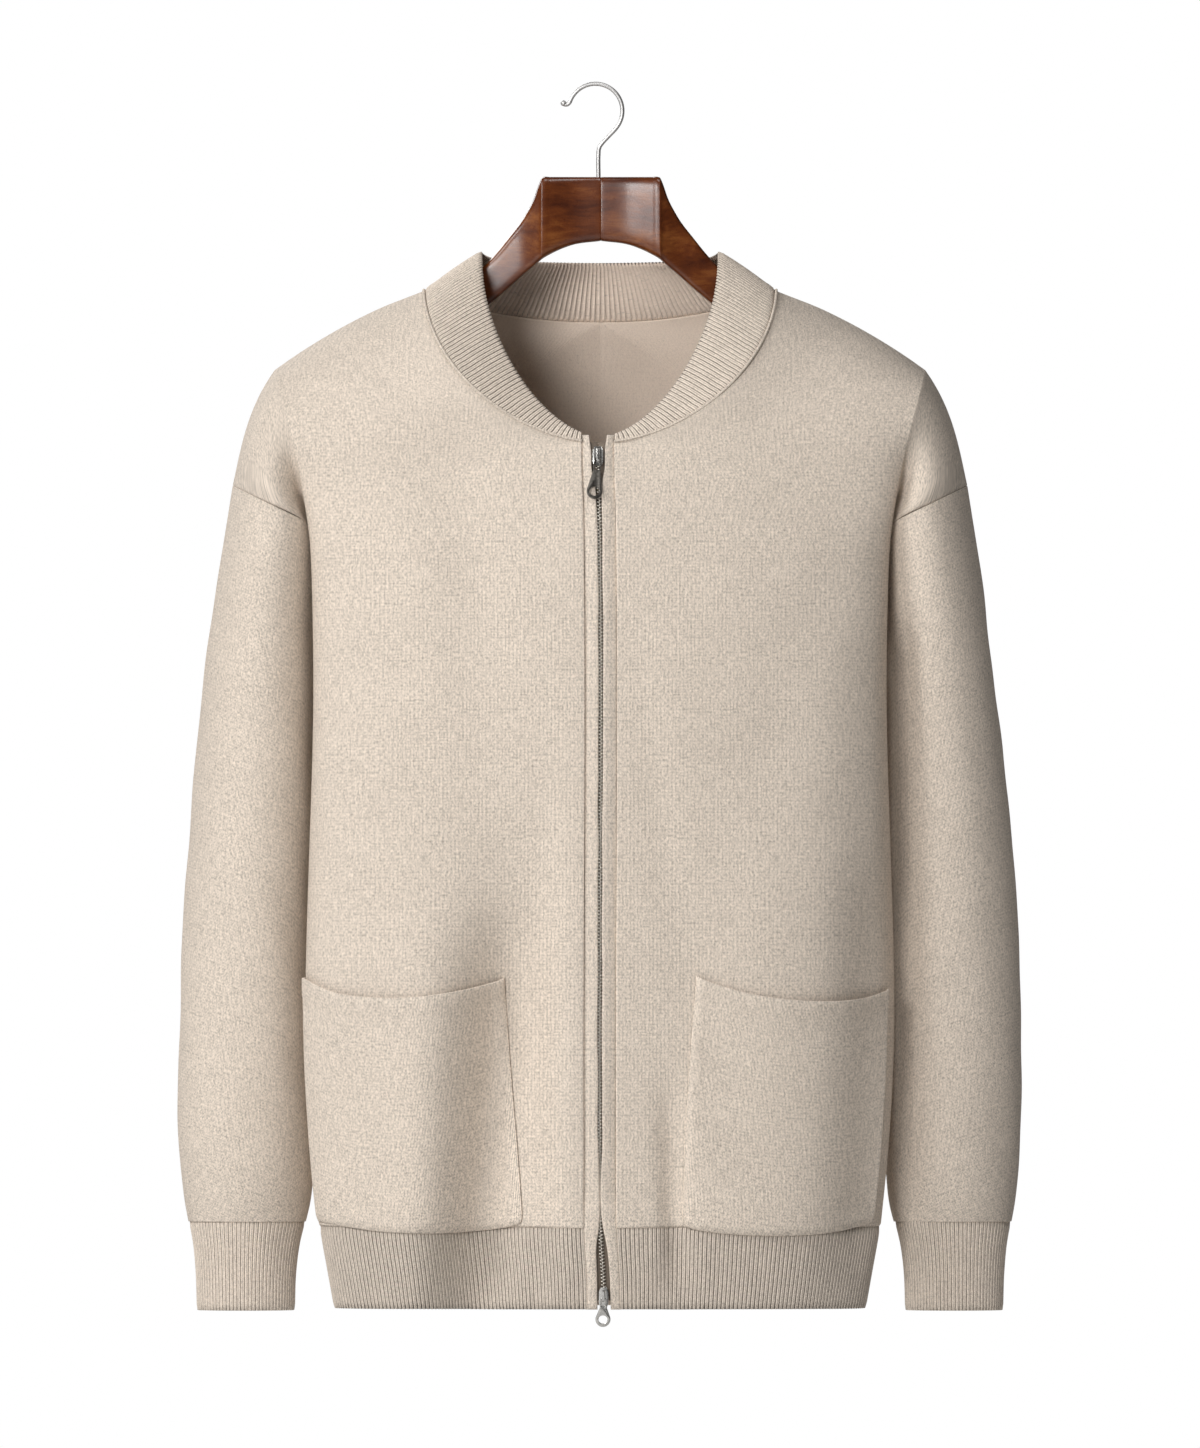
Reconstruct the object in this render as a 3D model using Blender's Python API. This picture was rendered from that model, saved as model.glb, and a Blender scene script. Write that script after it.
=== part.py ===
"""Zip-up knitted cardigan hanging on a wooden hanger. Metres, +Z up, the front faces -Y.

All sizes below are in millimetres and are scaled once, when a mesh is made. The origin is the
underside of the hook's wire, where a rail would carry the whole thing. X is measured from the
middle of the hanger, +X is the wearer's left.
"""

import math

import bpy
import numpy as np

MM = 0.001
CLOTH = 2.4  # wall of the fine knit
RIB = 2.6  # wall of the ribbed pieces
SEAM = 0.3  # clear gap between two pieces that are sewn together

HEM_BOTTOM = -814.0
HEM_TOP = -760.0
UNDERARM = -306.0
NECK_CF = -237.2  # height where the neckline meets the front band
BAND = 10.5  # outer edge of a front band, from the middle of the zip
BAND_TOP = -233.0
CUFF_TOP = -757.0
CUFF_BOTTOM = -816.0
RIDGE_Y = 8.0  # the shoulder ridge lies this far behind the hook
SIDE_Y = 15.0  # the side seam
WIDEST_Y = -35.0  # where the filled-out body is widest
ARM_Y = 12.0

# Body sections. z, half width, front at the middle, back at the middle.
BODY = np.array(
    [
        (-814, 177.0, -92, 86),
        (-790, 181.3, -94, 90),
        (-760, 186.6, -96, 93),
        (-730, 190.2, -97, 95),
        (-690, 193.4, -99, 96),
        (-650, 195.6, -101, 97),
        (-610, 196.3, -102, 97),
        (-560, 195.2, -105, 97),
        (-500, 193.2, -106, 97),
        (-409, 190.7, -106, 96),
        (-356, 191.2, -103, 96),
        (-306, 192.3, -98, 95),
        (-270, 192.3, -90, 96),
        (-236, 192.3, -80, 95),
    ]
)

# Sleeve sections. z, inner edge, outer edge, half depth, middle in y.
SLEEVE = np.array(
    [
        (-816, 203.4, 268.9, 27.5, 10),
        (-789, 202.4, 269.8, 28.0, 10),
        (-769, 199.6, 271.8, 30.5, 10),
        (-757, 196.4, 274.2, 34.0, 10.5),
        (-745, 193.2, 276.8, 38.0, 11),
        (-729, 191.6, 279.0, 41.5, 11.5),
        (-700, 191.5, 281.0, 45.0, 12),
        (-660, 191.8, 281.8, 48.0, 12.5),
        (-610, 191.6, 280.4, 50.5, 13),
        (-560, 191.0, 278.2, 53.0, 13.5),
        (-500, 189.6, 274.4, 56.0, 14),
        (-440, 188.0, 269.2, 59.5, 14),
        (-380, 186.6, 262.0, 63.0, 13.5),
        (-330, 185.4, 255.4, 66.0, 12.5),
        (-306, 184.6, 251.4, 67.5, 12),
        (-266, 184.6, 245.0, 68.0, 12),
    ]
)

# Edge of the body's front from the underarm up to the ridge. share of the way, x, y, z,
# then how far the fold beside it lies off the straight line to the armhole seam.
FRONT_EDGE = np.array(
    [
        (0.00, 192.3, -35, -306, -2.1, 0, -2.0, 0),
        (0.12, 193.5, -38, -298, -5.2, 20, -2.3, 13),
        (0.25, 195.5, -44, -285, -5.5, 19, -2.6, 10),
        (0.40, 198.7, -50, -266, -1.5, 12, -0.5, 2),
        (0.55, 203.0, -56, -242, -0.5, 4, 0.0, -3),
        (0.68, 207.5, -59, -225, 0.0, -1, 0.5, -5),
        (0.78, 211.0, -54, -212, 1.0, -4, 1.2, -6.5),
        (0.87, 214.0, -42, -201, 2.5, -6, 2.0, -7),
        (0.94, 216.0, -24, -193.5, 4.0, -5, 3.0, -5),
        (1.00, 217.0, 8, -189, 5.0, 0, 3.4, 0),
    ]
)
BACK_EDGE = np.array(
    [
        (0.00, 176.0, 30.3, -306, 0.4, 0, 0.3, 0),
        (0.12, 179.0, 37, -298, 0.0, -11, 0.0, -6),
        (0.25, 183.0, 49, -285, 0.0, -12, 0.0, -6),
        (0.40, 188.0, 61, -266, 0.0, -9, 0.0, -3),
        (0.55, 194.0, 66, -244, 0.0, -5, 0.0, 0),
        (0.68, 200.0, 64, -225, 0.0, -1, 0.5, 4),
        (0.78, 205.0, 57, -212, 1.0, 2, 1.2, 6),
        (0.87, 210.0, 44, -201, 2.5, 5, 2.0, 7),
        (0.94, 214.5, 26, -193.5, 4.0, 4, 3.0, 5),
        (1.00, 217.0, 8, -189, 5.0, 0, 3.4, 0),
    ]
)
RIDGE = np.array([(117, -136), (149.5, -149), (187, -169), (205, -180.5), (217, -189)])

# Middle of the zip and half the gap between the bands. z, x of the middle, half gap.
ZIP = np.array(
    [
        (-814, 2.6, 4.3),
        (-790, 2.0, 4.2),
        (-772, 0.8, 3.2),
        (-760, 0.3, 1.8),
        (-700, 0.0, 1.8),
        (-300, 0.0, 1.8),
        (-280, -0.3, 1.8),
        (-264, -0.9, 2.4),
        (-256, -1.2, 4.2),
        (-244, -1.3, 4.4),
        (-233, -1.3, 5.6),
    ]
)

# Pocket outlines as seen from the front. Top and bottom: share across, z. Sides: share down, x.
POCKETS = {
    -1: {
        "top": [(0, -595.0), (0.3, -603.0), (0.56, -607.1), (0.8, -601.5), (1, -593.8)],
        "bottom": [(0, -760.8), (0.07, -763.2), (0.35, -765.6), (0.62, -764.6), (1, -757.0)],
        "inner": [(0, 61.3), (0.5, 57.0), (0.8, 50.6), (1, 49.3)],
        "outer": 0.995,
    },
    1: {
        "top": [(0, -591.6), (0.24, -600.9), (0.45, -608.1), (0.73, -610.1), (0.9, -606.8)]
        + [(1, -602.2)],
        "bottom": [(0, -760.3), (0.3, -764.9), (0.6, -766.3), (0.85, -762.3), (1, -753.5)],
        "inner": [(0, 63.6), (0.5, 61.3), (0.8, 57.3), (1, 56.0)],
        "outer": 0.972,
    },
}


def smooth(table, column, at):
    """Reads one column of a table at any place along its first column, with a smooth curve."""
    x, y = table[:, 0], table[:, column]
    if x[0] > x[-1]:
        x, y = x[::-1], y[::-1]
    slope = np.gradient(y, x)
    at = np.clip(np.asarray(at, float), x[0], x[-1])
    i = np.clip(np.searchsorted(x, at, side="right") - 1, 0, len(x) - 2)
    h = x[i + 1] - x[i]
    t = (at - x[i]) / h
    return (
        (2 * t**3 - 3 * t**2 + 1) * y[i]
        + (t**3 - 2 * t**2 + t) * h * slope[i]
        + (3 * t**2 - 2 * t**3) * y[i + 1]
        + (t**3 - t**2) * h * slope[i + 1]
    )


def power(base, exponent):
    """A power of a value that rounding may have left just below zero."""
    return np.maximum(base, 0.0) ** exponent


def rise(q, bow=1.8):
    """Quarter of a superellipse: 0 at 0, 1 at 1, level where it reaches 1."""
    q = np.clip(q, 0.0, 1.0)
    return power(1 - (1 - q) ** bow, 1 / bow)


def stack(x, y, z):
    """Joins three coordinate arrays into points."""
    return np.stack(np.broadcast_arrays(x, y, z), axis=-1)


# ---- the body's surface -------------------------------------------------------------------
FRONT_BOW = 2.5
BACK_BOW = 2.4
FRONT_TURN = 0.28  # share of the way up at which the rows leave the band for the neckline
BACK_TURN = 0.5


def body_front(z, x):
    """Depth of the body's front at a height and a distance from the middle."""
    w, mid = smooth(BODY, 1, z), smooth(BODY, 2, z)
    return WIDEST_Y + (mid - WIDEST_Y) * power(1 - (x / w) ** FRONT_BOW, 1 / FRONT_BOW)


def side_x(z, y):
    """Half width of the body behind its widest place. It leaves room for the hanging arm."""
    w, back = smooth(BODY, 1, z), smooth(BODY, 3, z)
    y_back = np.maximum(y, SIDE_Y)
    share = power((y_back - WIDEST_Y) / (back - WIDEST_Y), BACK_BOW)
    x_back = w * power(1 - share, 1 / BACK_BOW)
    ahead = np.clip((SIDE_Y - y) / (SIDE_Y - WIDEST_Y), 0, 1)
    return x_back + (w - x_back) * ahead**2


def band_edge(side, z):
    """Distance of the body panel's front edge from the middle, on one side."""
    return BAND + SEAM + side * smooth(ZIP, 1, z)


def front_row(side, z, across, around):
    """One level row of the front: from the band to the widest place, then to the side seam."""
    w, mid = smooth(BODY, 1, z), smooth(BODY, 2, z)
    start = np.arcsin((band_edge(side, z) / w) ** (FRONT_BOW / 2))
    turn = start + (math.pi / 2 - start) * across
    x = w * power(np.sin(turn), 2 / FRONT_BOW)
    y = WIDEST_Y + (mid - WIDEST_Y) * power(np.cos(turn), 2 / FRONT_BOW)
    y2 = WIDEST_Y + (SIDE_Y - WIDEST_Y) * around[1:]
    return stack(np.append(x, side_x(z, y2)), np.append(y, y2), z)


def back_row(z, across, around):
    """One level row of the back's half: from the middle to its edge, then to the side seam."""
    w, back = smooth(BODY, 1, z), smooth(BODY, 3, z)
    end = np.arcsin((176.0 / 192.3) ** (BACK_BOW / 2))
    turn = end * across
    x = w * power(np.sin(turn), 2 / BACK_BOW)
    y = WIDEST_Y + (back - WIDEST_Y) * power(np.cos(turn), 2 / BACK_BOW)
    y2 = y[-1] + (SIDE_Y - y[-1]) * around[1:]
    return stack(np.append(x, side_x(z, y2)), np.append(y, y2), z)


def armhole(turn, way):
    """A point of the armhole seam. turn runs from the underarm (0) over the arm to its top (pi);
    way is -1 for the front half of the seam and 1 for the back half."""
    lean = np.cos(turn)
    z = -266 - 28.5 * (1 + lean) / 2 - 11.5 * power(lean, 6)
    return sleeve_point(z, turn, way)


def sleeve_point(z, turn, way):
    """A point of the sleeve's outside at a height and a turn about its middle."""
    inner, outer = smooth(SLEEVE, 1, z), smooth(SLEEVE, 2, z)
    x = (inner + outer) / 2 - (outer - inner) / 2 * np.cos(turn)
    y = smooth(SLEEVE, 4, z) + way * smooth(SLEEVE, 3, z) * np.sin(turn)
    at_seam = np.clip((z + 330) / 24, 0, 1) * power(np.cos(turn), 8)
    return stack(x, y + (SIDE_Y - ARM_Y) * at_seam, z)


def neck_front(side, share):
    """The front neckline seam from the band (0) to the shoulder (1)."""
    start = np.arcsin((band_edge(side, NECK_CF) / 117) ** 0.9)
    turn = start + (math.pi / 2 - start) * share
    x = 117 * power(np.sin(turn), 2 / 1.8)
    z = -136 - 102 * power(np.cos(turn), 2 / 1.8)
    below = -136 + 0.38 * (117 - x) - z
    return stack(x, RIDGE_Y - 88 * rise(below / 95), z)


def neck_back(share):
    """The back neckline seam from the middle of the back (0) to the shoulder (1)."""
    turn = math.pi / 2 * np.asarray(share, float)
    rear = power(np.cos(turn), 1.0)
    return stack(117 * np.sin(turn), 8 + 62 * rear, -136 - 20.5 * rear**1.7)


def on_front_neck(side, share):
    """How far along the front neckline an upper row starts."""
    return even((share - FRONT_TURN) / (1 - FRONT_TURN), lambda s: neck_front(side, s))


def on_back_neck(share):
    """How far along the back neckline an upper row starts."""
    return even((share - BACK_TURN) / (1 - BACK_TURN), neck_back)


def front_start(side, share):
    """Where an upper row of the front starts: up the band first, then along the neckline."""
    if share <= FRONT_TURN:
        z = UNDERARM + (NECK_CF - UNDERARM) * share / FRONT_TURN
        return stack(band_edge(side, z), smooth(BODY, 2, z), z)
    return neck_front(side, on_front_neck(side, share))


def back_start(share):
    """Where an upper row of the back starts: up its middle first, then along the neckline."""
    if share <= BACK_TURN:
        q = share / BACK_TURN
        z = UNDERARM + (-156.5 - UNDERARM) * q
        return stack(0.0, 95 - 25 * q**2.2, z)
    return neck_back(on_back_neck(share))


def even(share, curve):
    """The share at which a curve has covered the wanted part of its length."""
    s = np.linspace(0, 1, 161)
    points = curve(s)
    run = np.concatenate(([0], np.cumsum(np.linalg.norm(np.diff(points, axis=0), axis=1))))
    return np.interp(share, run / run[-1], s)


def through(points, at, want):
    """A smooth curve through a few points, given where each lies along it."""
    out = np.zeros((len(want), 3))
    for i, p in enumerate(points):
        weight = np.ones(len(want))
        for j in range(len(points)):
            if j != i:
                weight = weight * (want - at[j]) / (at[i] - at[j])
        out += weight[:, None] * p
    return out


def upper_row(start, edge_table, share, way, bow, across, around):
    """One row above the underarm: from the front or back middle to the edge, then to the seam."""
    edge = np.array([smooth(edge_table, k, share) for k in (1, 2, 3)])
    beyond = (0.0 if way < 0 else 16.3) + 22 * np.clip((share - 0.3) / 0.5, 0, 1) ** 2
    wide = edge[0] + beyond

    def bulge(x):
        return power(1 - (x / wide) ** bow, 1 / bow)

    first = math.asin((start[0] / wide) ** (bow / 2))
    last = math.asin(min(1.0, (edge[0] / wide) ** (bow / 2)))
    x = wide * power(np.sin(first + (last - first) * across), 2 / bow)
    k0, k1, k = bulge(start[0]), bulge(edge[0]), bulge(x)
    y = edge[1] + (start[1] - edge[1]) * (k - k1) / (k0 - k1)
    part = (x - start[0]) / (edge[0] - start[0])
    z = start[2] + (edge[2] - start[2]) * part
    top = np.clip((share - 0.6) / 0.4, 0, 1) ** 2
    z = z + top * (np.interp(x, RIDGE[:, 0], RIDGE[:, 1]) - np.interp(part, (0, 1), (-136, -189)))
    inner = stack(x, y, z)
    seam = armhole(math.pi * share, way)
    dx1, dy1, dx2, dy2 = (smooth(edge_table, k, share) for k in (4, 5, 6, 7))
    second = edge + 0.35 * (seam - edge) + (dx1, dy1, 0)
    third = edge + 0.7 * (seam - edge) + (dx2, dy2, 0)
    outer = through((edge, second, third, seam), (0, 0.35, 0.7, 1), around[1:])
    return np.concatenate((inner, outer))


def front_grid(side, levels, shares, across, around):
    """The front panel's outside as a grid of points, hem first, on one side of the zip."""
    rows = [front_row(side, z, across, around) for z in levels]
    rows += [
        upper_row(front_start(side, s), FRONT_EDGE, s, -1, FRONT_BOW, across, around) for s in shares
    ]
    return np.array(rows) * (side, 1, 1)


def back_grid(levels, shares, across, around):
    """Half of the back's outside as a grid of points, hem first, from the middle to the seam."""
    rows = [back_row(z, across, around) for z in levels]
    rows += [upper_row(back_start(s), BACK_EDGE, s, 1, BACK_BOW, across, around) for s in shares]
    return np.array(rows)


def sleeve_grid(side, downs, turns, top_gap=SEAM):
    """The sleeve's outside as rings of points from the armhole seam to the cuff seam."""
    ring = []
    for down in downs:
        points = []
        for turn in turns:
            way = -1 if turn <= math.pi else 1
            bend = turn if turn <= math.pi else 2 * math.pi - turn
            z0 = armhole(bend, way)[2] - top_gap
            points.append(sleeve_point(z0 + (CUFF_TOP + SEAM - z0) * down, bend, way))
        ring.append(points)
    return np.array(ring) * (side, 1, 1)


# ---- meshes -------------------------------------------------------------------------------
def material(name, colour, rough, metallic=0.0):
    """A plain Principled material."""
    mat = bpy.data.materials.new(name)
    mat.use_nodes = True
    shader = mat.node_tree.nodes["Principled BSDF"]
    shader.inputs["Base Color"].default_value = (*colour, 1)
    shader.inputs["Roughness"].default_value = rough
    shader.inputs["Metallic"].default_value = metallic
    mat.diffuse_color = (*colour, 1)
    return mat


def signed_volume(points, faces):
    """Volume inside a closed mesh, negative if its faces look inwards."""
    total = 0.0
    for face in faces:
        a = points[face[0]]
        for b, c in zip(face[1:-1], face[2:]):
            total += np.dot(a, np.cross(points[b], points[c]))
    return total / 6


def add(name, points, faces, mat):
    """Makes one object from points in millimetres, with faces that look outwards."""
    points = np.asarray(points, float)
    if signed_volume(points, faces) < 0:
        faces = [tuple(reversed(f)) for f in faces]
    mesh = bpy.data.meshes.new(name)
    mesh.from_pydata([tuple(p) for p in points * MM], [], [tuple(int(i) for i in f) for f in faces])
    mesh.materials.append(mat)
    ob = bpy.data.objects.new(name, mesh)
    PARTS.objects.link(ob)
    return ob


def normals(grid, wrap):
    """Unit normals of a grid of points."""
    if wrap:
        along = np.roll(grid, -1, axis=1) - np.roll(grid, 1, axis=1)
    else:
        along = np.gradient(grid, axis=1)
    n = np.cross(along, np.gradient(grid, axis=0))
    return n / np.maximum(np.linalg.norm(n, axis=2, keepdims=True), 1e-9)


def trimmed(grid, gaps):
    """Pulls the rims of a grid in. gaps: first row, last row, first column, last column."""
    g = grid.copy()
    for gap, edge, inner in (
        (gaps[0], (0,), (1,)),
        (gaps[1], (-1,), (-2,)),
        (gaps[2], (slice(None), 0), (slice(None), 1)),
        (gaps[3], (slice(None), -1), (slice(None), -2)),
    ):
        way = g[inner] - g[edge]
        way = way / np.maximum(np.linalg.norm(way, axis=-1, keepdims=True), 1e-9)
        g[edge] += np.reshape(gap, (-1, 1)) * way
    return g


def wall(grid, thick, inward, wrap, gaps, under, lift, open_rows=0):
    """Points and faces of a cloth wall on a grid. inward says which side of the grid the wall
    lies on; gaps pulls the outer rims in and under the inner rims; the first open_rows rows have
    no rim at their first column, because the wall goes on there."""
    n = normals(grid, wrap) * inward
    if open_rows:
        n[:open_rows, 0, 0] = 0.0
        n /= np.linalg.norm(n, axis=2, keepdims=True)
    outer = trimmed(grid - n * lift, gaps)
    inner = trimmed(grid + n * (thick - lift), under)
    rows, cols = grid.shape[:2]
    points = np.concatenate((outer.reshape(-1, 3), inner.reshape(-1, 3)))
    shift = rows * cols
    spans = cols if wrap else cols - 1
    faces = []
    for r in range(rows - 1):
        for c in range(spans):
            a, b = r * cols + c, r * cols + (c + 1) % cols
            faces.append((a, b, b + cols, a + cols))
            faces.append((a + shift, a + cols + shift, b + cols + shift, b + shift))
    for c in range(spans):
        a, b = c, (c + 1) % cols
        faces.append((b, a, a + shift, b + shift))
        a, b = a + (rows - 1) * cols, b + (rows - 1) * cols
        faces.append((a, b, b + shift, a + shift))
    for r in range(0 if wrap else rows - 1):
        a, b = r * cols, (r + 1) * cols
        if r >= open_rows - 1:
            faces.append((a, b, b + shift, a + shift))
        a, b = a + cols - 1, b + cols - 1
        faces.append((b, a, a + shift, b + shift))
    return points, faces


def shell(name, grid, thick, mat, inward, wrap=False, gaps=(0, 0, 0, 0), under=(0, 0, 0, 0), lift=0.0):
    """One closed cloth wall on a grid of points."""
    return add(name, *wall(np.asarray(grid, float), thick, inward, wrap, gaps, under, lift), mat)


def twin_shell(name, half, thick, mat, gaps, under, open_rows):
    """A closed cloth wall on half a grid and its mirror image, joined along the middle."""
    points, faces = wall(half, thick, 1, False, gaps, under, 0.0, open_rows)
    mirror = points * (-1, 1, 1)
    count = len(points)
    middle = np.abs(points[:, 0]) < 1e-6
    index = np.where(middle, np.arange(count), np.arange(count) + count)
    faces += [tuple(int(index[i]) for i in reversed(f)) for f in faces]
    keep = np.ones(2 * count, bool)
    keep[count:][middle] = False
    number = np.cumsum(keep) - 1
    faces = [tuple(int(number[i]) for i in f) for f in faces]
    return add(name, np.concatenate((points, mirror))[keep], faces, mat)


def bar(name, sections, mat):
    """A solid between closed sections that have the same number of points, with flat ends."""
    sections = np.asarray(sections, float)
    count, ring = sections.shape[:2]
    faces = []
    for s in range(count - 1):
        for k in range(ring):
            a, b = s * ring + k, s * ring + (k + 1) % ring
            faces.append((a, b, b + ring, a + ring))
    faces.append(tuple(range(ring))[::-1])
    faces.append(tuple((count - 1) * ring + k for k in range(ring)))
    return add(name, sections.reshape(-1, 3), faces, mat)


def box_section(x0, x1, y0, y1, z):
    """A rectangle at one height."""
    return [(x0, y0, z), (x1, y0, z), (x1, y1, z), (x0, y1, z)]


def wire(path, radii, sides):
    """Rings of points round a path, one radius for each of its points. The path lies in y = 0."""
    path = np.asarray(path, float)
    tangent = np.gradient(path, axis=0)
    tangent /= np.linalg.norm(tangent, axis=1, keepdims=True)
    across = np.array((0.0, 1.0, 0.0))
    rings = []
    for p, t, r in zip(path, tangent, radii):
        out = np.cross(across, t)
        rings.append(
            [
                p + r * (math.cos(a) * out + math.sin(a) * across)
                for a in np.arange(sides) * 2 * math.pi / sides
            ]
        )
    return rings


# ---- the scene ----------------------------------------------------------------------------
for old in list(bpy.data.objects):
    bpy.data.objects.remove(old)
PARTS = bpy.data.collections.new("zip_up_cardigan_on_hanger")
bpy.context.scene.collection.children.link(PARTS)

KNIT = material("beige_knit", (0.60, 0.52, 0.43), 0.9)
RIBBED = material("beige_rib", (0.57, 0.49, 0.41), 0.9)
TAPE = material("zip_tape", (0.30, 0.25, 0.20), 0.85)
METAL = material("zip_metal", (0.33, 0.31, 0.28), 0.35, 1.0)
WOOD = material("hanger_wood", (0.19, 0.055, 0.02), 0.3)
STEEL = material("hook_steel", (0.62, 0.62, 0.60), 0.25, 1.0)

LEVELS = np.array([-760, -715, -660, -595, -520, -440, -370, -330, -306], float)
SHARES = np.array([0.06, 0.13, 0.21, 0.28, 0.38, 0.48, 0.58, 0.68, 0.77, 0.85, 0.91, 0.96, 1.0])
BACK_SHARES = np.array([0.06, 0.14, 0.22, 0.31, 0.40, 0.50, 0.58, 0.68, 0.77, 0.85, 0.91, 0.96, 1.0])
ACROSS = np.linspace(0, 1, 11)
AROUND = np.linspace(0, 1, 5)
HALF = SEAM / 2

# Body panels and hem ribs
on_neck = np.concatenate((np.zeros(len(LEVELS)), np.where(SHARES >= FRONT_TURN, HALF, 0)))
for side, tag in ((-1, "right"), (1, "left")):
    panel = front_grid(side, LEVELS, SHARES, ACROSS, AROUND)
    shell(
        "front_" + tag,
        panel,
        CLOTH,
        KNIT,
        -side,
        gaps=(0, HALF, on_neck, HALF),
        under=(0, 0.9, on_neck * 6, 0.8),
    )
    rib = front_grid(side, (HEM_BOTTOM, -787, HEM_TOP - SEAM), (), ACROSS, AROUND)
    shell("hem_" + tag, rib, RIB, RIBBED, -side, gaps=(0, 0, 0, HALF), under=(0, 0, 0, 0.8))
on_neck = np.concatenate((np.zeros(len(LEVELS)), np.where(BACK_SHARES > BACK_TURN, HALF, 0)))
half = back_grid(LEVELS, BACK_SHARES, ACROSS, AROUND)
joined = len(LEVELS) + int(np.sum(BACK_SHARES <= BACK_TURN))
twin_shell("back", half, CLOTH, KNIT, (0, HALF, on_neck, HALF), (0, 0.9, on_neck * 6, 0.8), joined)
half = back_grid((HEM_BOTTOM, -787, HEM_TOP - SEAM), (), ACROSS, AROUND)
twin_shell("hem_back", half, RIB, RIBBED, (0, 0, 0, HALF), (0, 0, 0, 0.8), 3)

# Sleeves and cuffs
TURNS = math.pi * np.concatenate(([0.0], SHARES, 2 - BACK_SHARES[-2::-1]))
DOWNS = np.array([0, 0.07, 0.17, 0.32, 0.5, 0.68, 0.84, 0.94, 1.0])
for side, tag in ((-1, "right"), (1, "left")):
    tube = sleeve_grid(side, DOWNS, TURNS)
    shell("sleeve_" + tag, tube, CLOTH, KNIT, side, wrap=True, under=(0.8, 0, 0, 0))
    rings = []
    for z in (CUFF_TOP, -775, CUFF_BOTTOM):
        ring = [
            sleeve_point(z, t if t <= math.pi else 2 * math.pi - t, -1 if t <= math.pi else 1)
            for t in TURNS
        ]
        rings.append(ring)
    shell("cuff_" + tag, np.array(rings) * (side, 1, 1), RIB, RIBBED, side, wrap=True)

# Neckband: one rib all the way round, open at the zip
def collar_front(side, q):
    """Seam edge and free edge of the neckband in front, from the zip (0) to the shoulder (1)."""
    first = math.asin((band_edge(side, BAND_TOP) / 79.3) ** 0.85)
    turn = first + (math.pi / 2 - first) * q
    c = max(math.cos(turn), 0.0)
    x = 79.3 * math.sin(turn) ** (2 / 1.7)
    return neck_front(side, q), stack(x, RIDGE_Y - 87 * c**0.6, -114 - 119.5 * c ** (2 / 1.7))


def collar_back(q):
    """Seam edge and free edge of the neckband behind, from the middle (0) to the shoulder (1)."""
    turn = math.pi / 2 * q
    c = max(math.cos(turn), 0.0)
    return neck_back(q), stack(79.3 * math.sin(turn), RIDGE_Y + 52 * c, -114 - 4.5 * c)


def collar_row(edges, side):
    """Three points across the neckband, with its middle bowed outwards."""
    seam, top = edges
    out = np.array((seam[0], (seam[1] - RIDGE_Y) * 1.2, 40.0))
    middle = (seam + top) / 2 + 2.0 * out / np.linalg.norm(out)
    return np.array((seam, middle, top)) * (side, 1, 1)


front_stops = [s for s in SHARES if s >= FRONT_TURN]
back_stops = [s for s in BACK_SHARES[::-1] if BACK_TURN <= s < 1]
ends = []
for side in (-1, 1):
    half = [collar_row(collar_front(side, on_front_neck(side, s)), side) for s in front_stops]
    half += [collar_row(collar_back(on_back_neck(s)), side) for s in back_stops]
    ends += half if side < 0 else half[-2::-1]
collar = np.array(ends).transpose(1, 0, 2)
shell("collar", collar, RIB, RIBBED, 1, gaps=(SEAM, 0, SEAM, SEAM), under=(1.1, 0, SEAM, SEAM))

# Front bands, zip tapes and the closed row of teeth
BAND_LEVELS = (-814, -802, -790, -781, -772, -760, -700, -600, -500)
BAND_LEVELS += (-400, -330, -300, -280, -264, -256, -244, -233)


def zip_face(z):
    """Depth of the front's outside at the zip."""
    return float(smooth(BODY, 2, z))


for side, tag in ((-1, "right"), (1, "left")):
    strip, tape = [], []
    for z in BAND_LEVELS:
        mid, gap, face = float(smooth(ZIP, 1, z)), float(smooth(ZIP, 2, z)), zip_face(z)
        strip.append(box_section(mid + side * gap, mid + side * BAND, face - 0.8, face + 3.0, z))
        inner, outer = mid + side * 0.2, mid + side * (BAND - 0.1)
        tape.append(box_section(inner, outer, face + 3.3, face + 4.0, max(min(z, -238), -808)))
    bar("band_" + tag, strip, KNIT)
    bar("zip_tape_" + tag, tape, TAPE)
chain = []
for z in (-805, *BAND_LEVELS[2:-2], -246):
    mid, face = float(smooth(ZIP, 1, z)), zip_face(z)
    chain.append(box_section(mid - 1.5, mid + 1.5, face + 0.4, face + 3.0, z))
bar("zip_chain", chain, METAL)

# Patch pockets, laid on the front
for side, tag in ((-1, "right"), (1, "left")):
    shape = POCKETS[side]
    rows = []
    for down in np.linspace(0, 1, 8):
        row = []
        for share in np.linspace(0, 1, 10):
            top = smooth(np.array(shape["top"]), 1, share)
            low = smooth(np.array(shape["bottom"]), 1, share)
            z = top + (low - top) * down
            w = smooth(BODY, 1, z)
            x0 = smooth(np.array(shape["inner"]), 1, down)
            t0, t1 = (math.asin((v / w) ** (FRONT_BOW / 2)) for v in (x0, shape["outer"] * w))
            x = w * math.sin(t0 + (t1 - t0) * share) ** (2 / FRONT_BOW)
            row.append((side * x, float(body_front(z, x)), z))
        rows.append(row)
    shell("pocket_" + tag, np.array(rows), 2.2, KNIT, side, lift=2.2 + 0.6)


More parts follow.
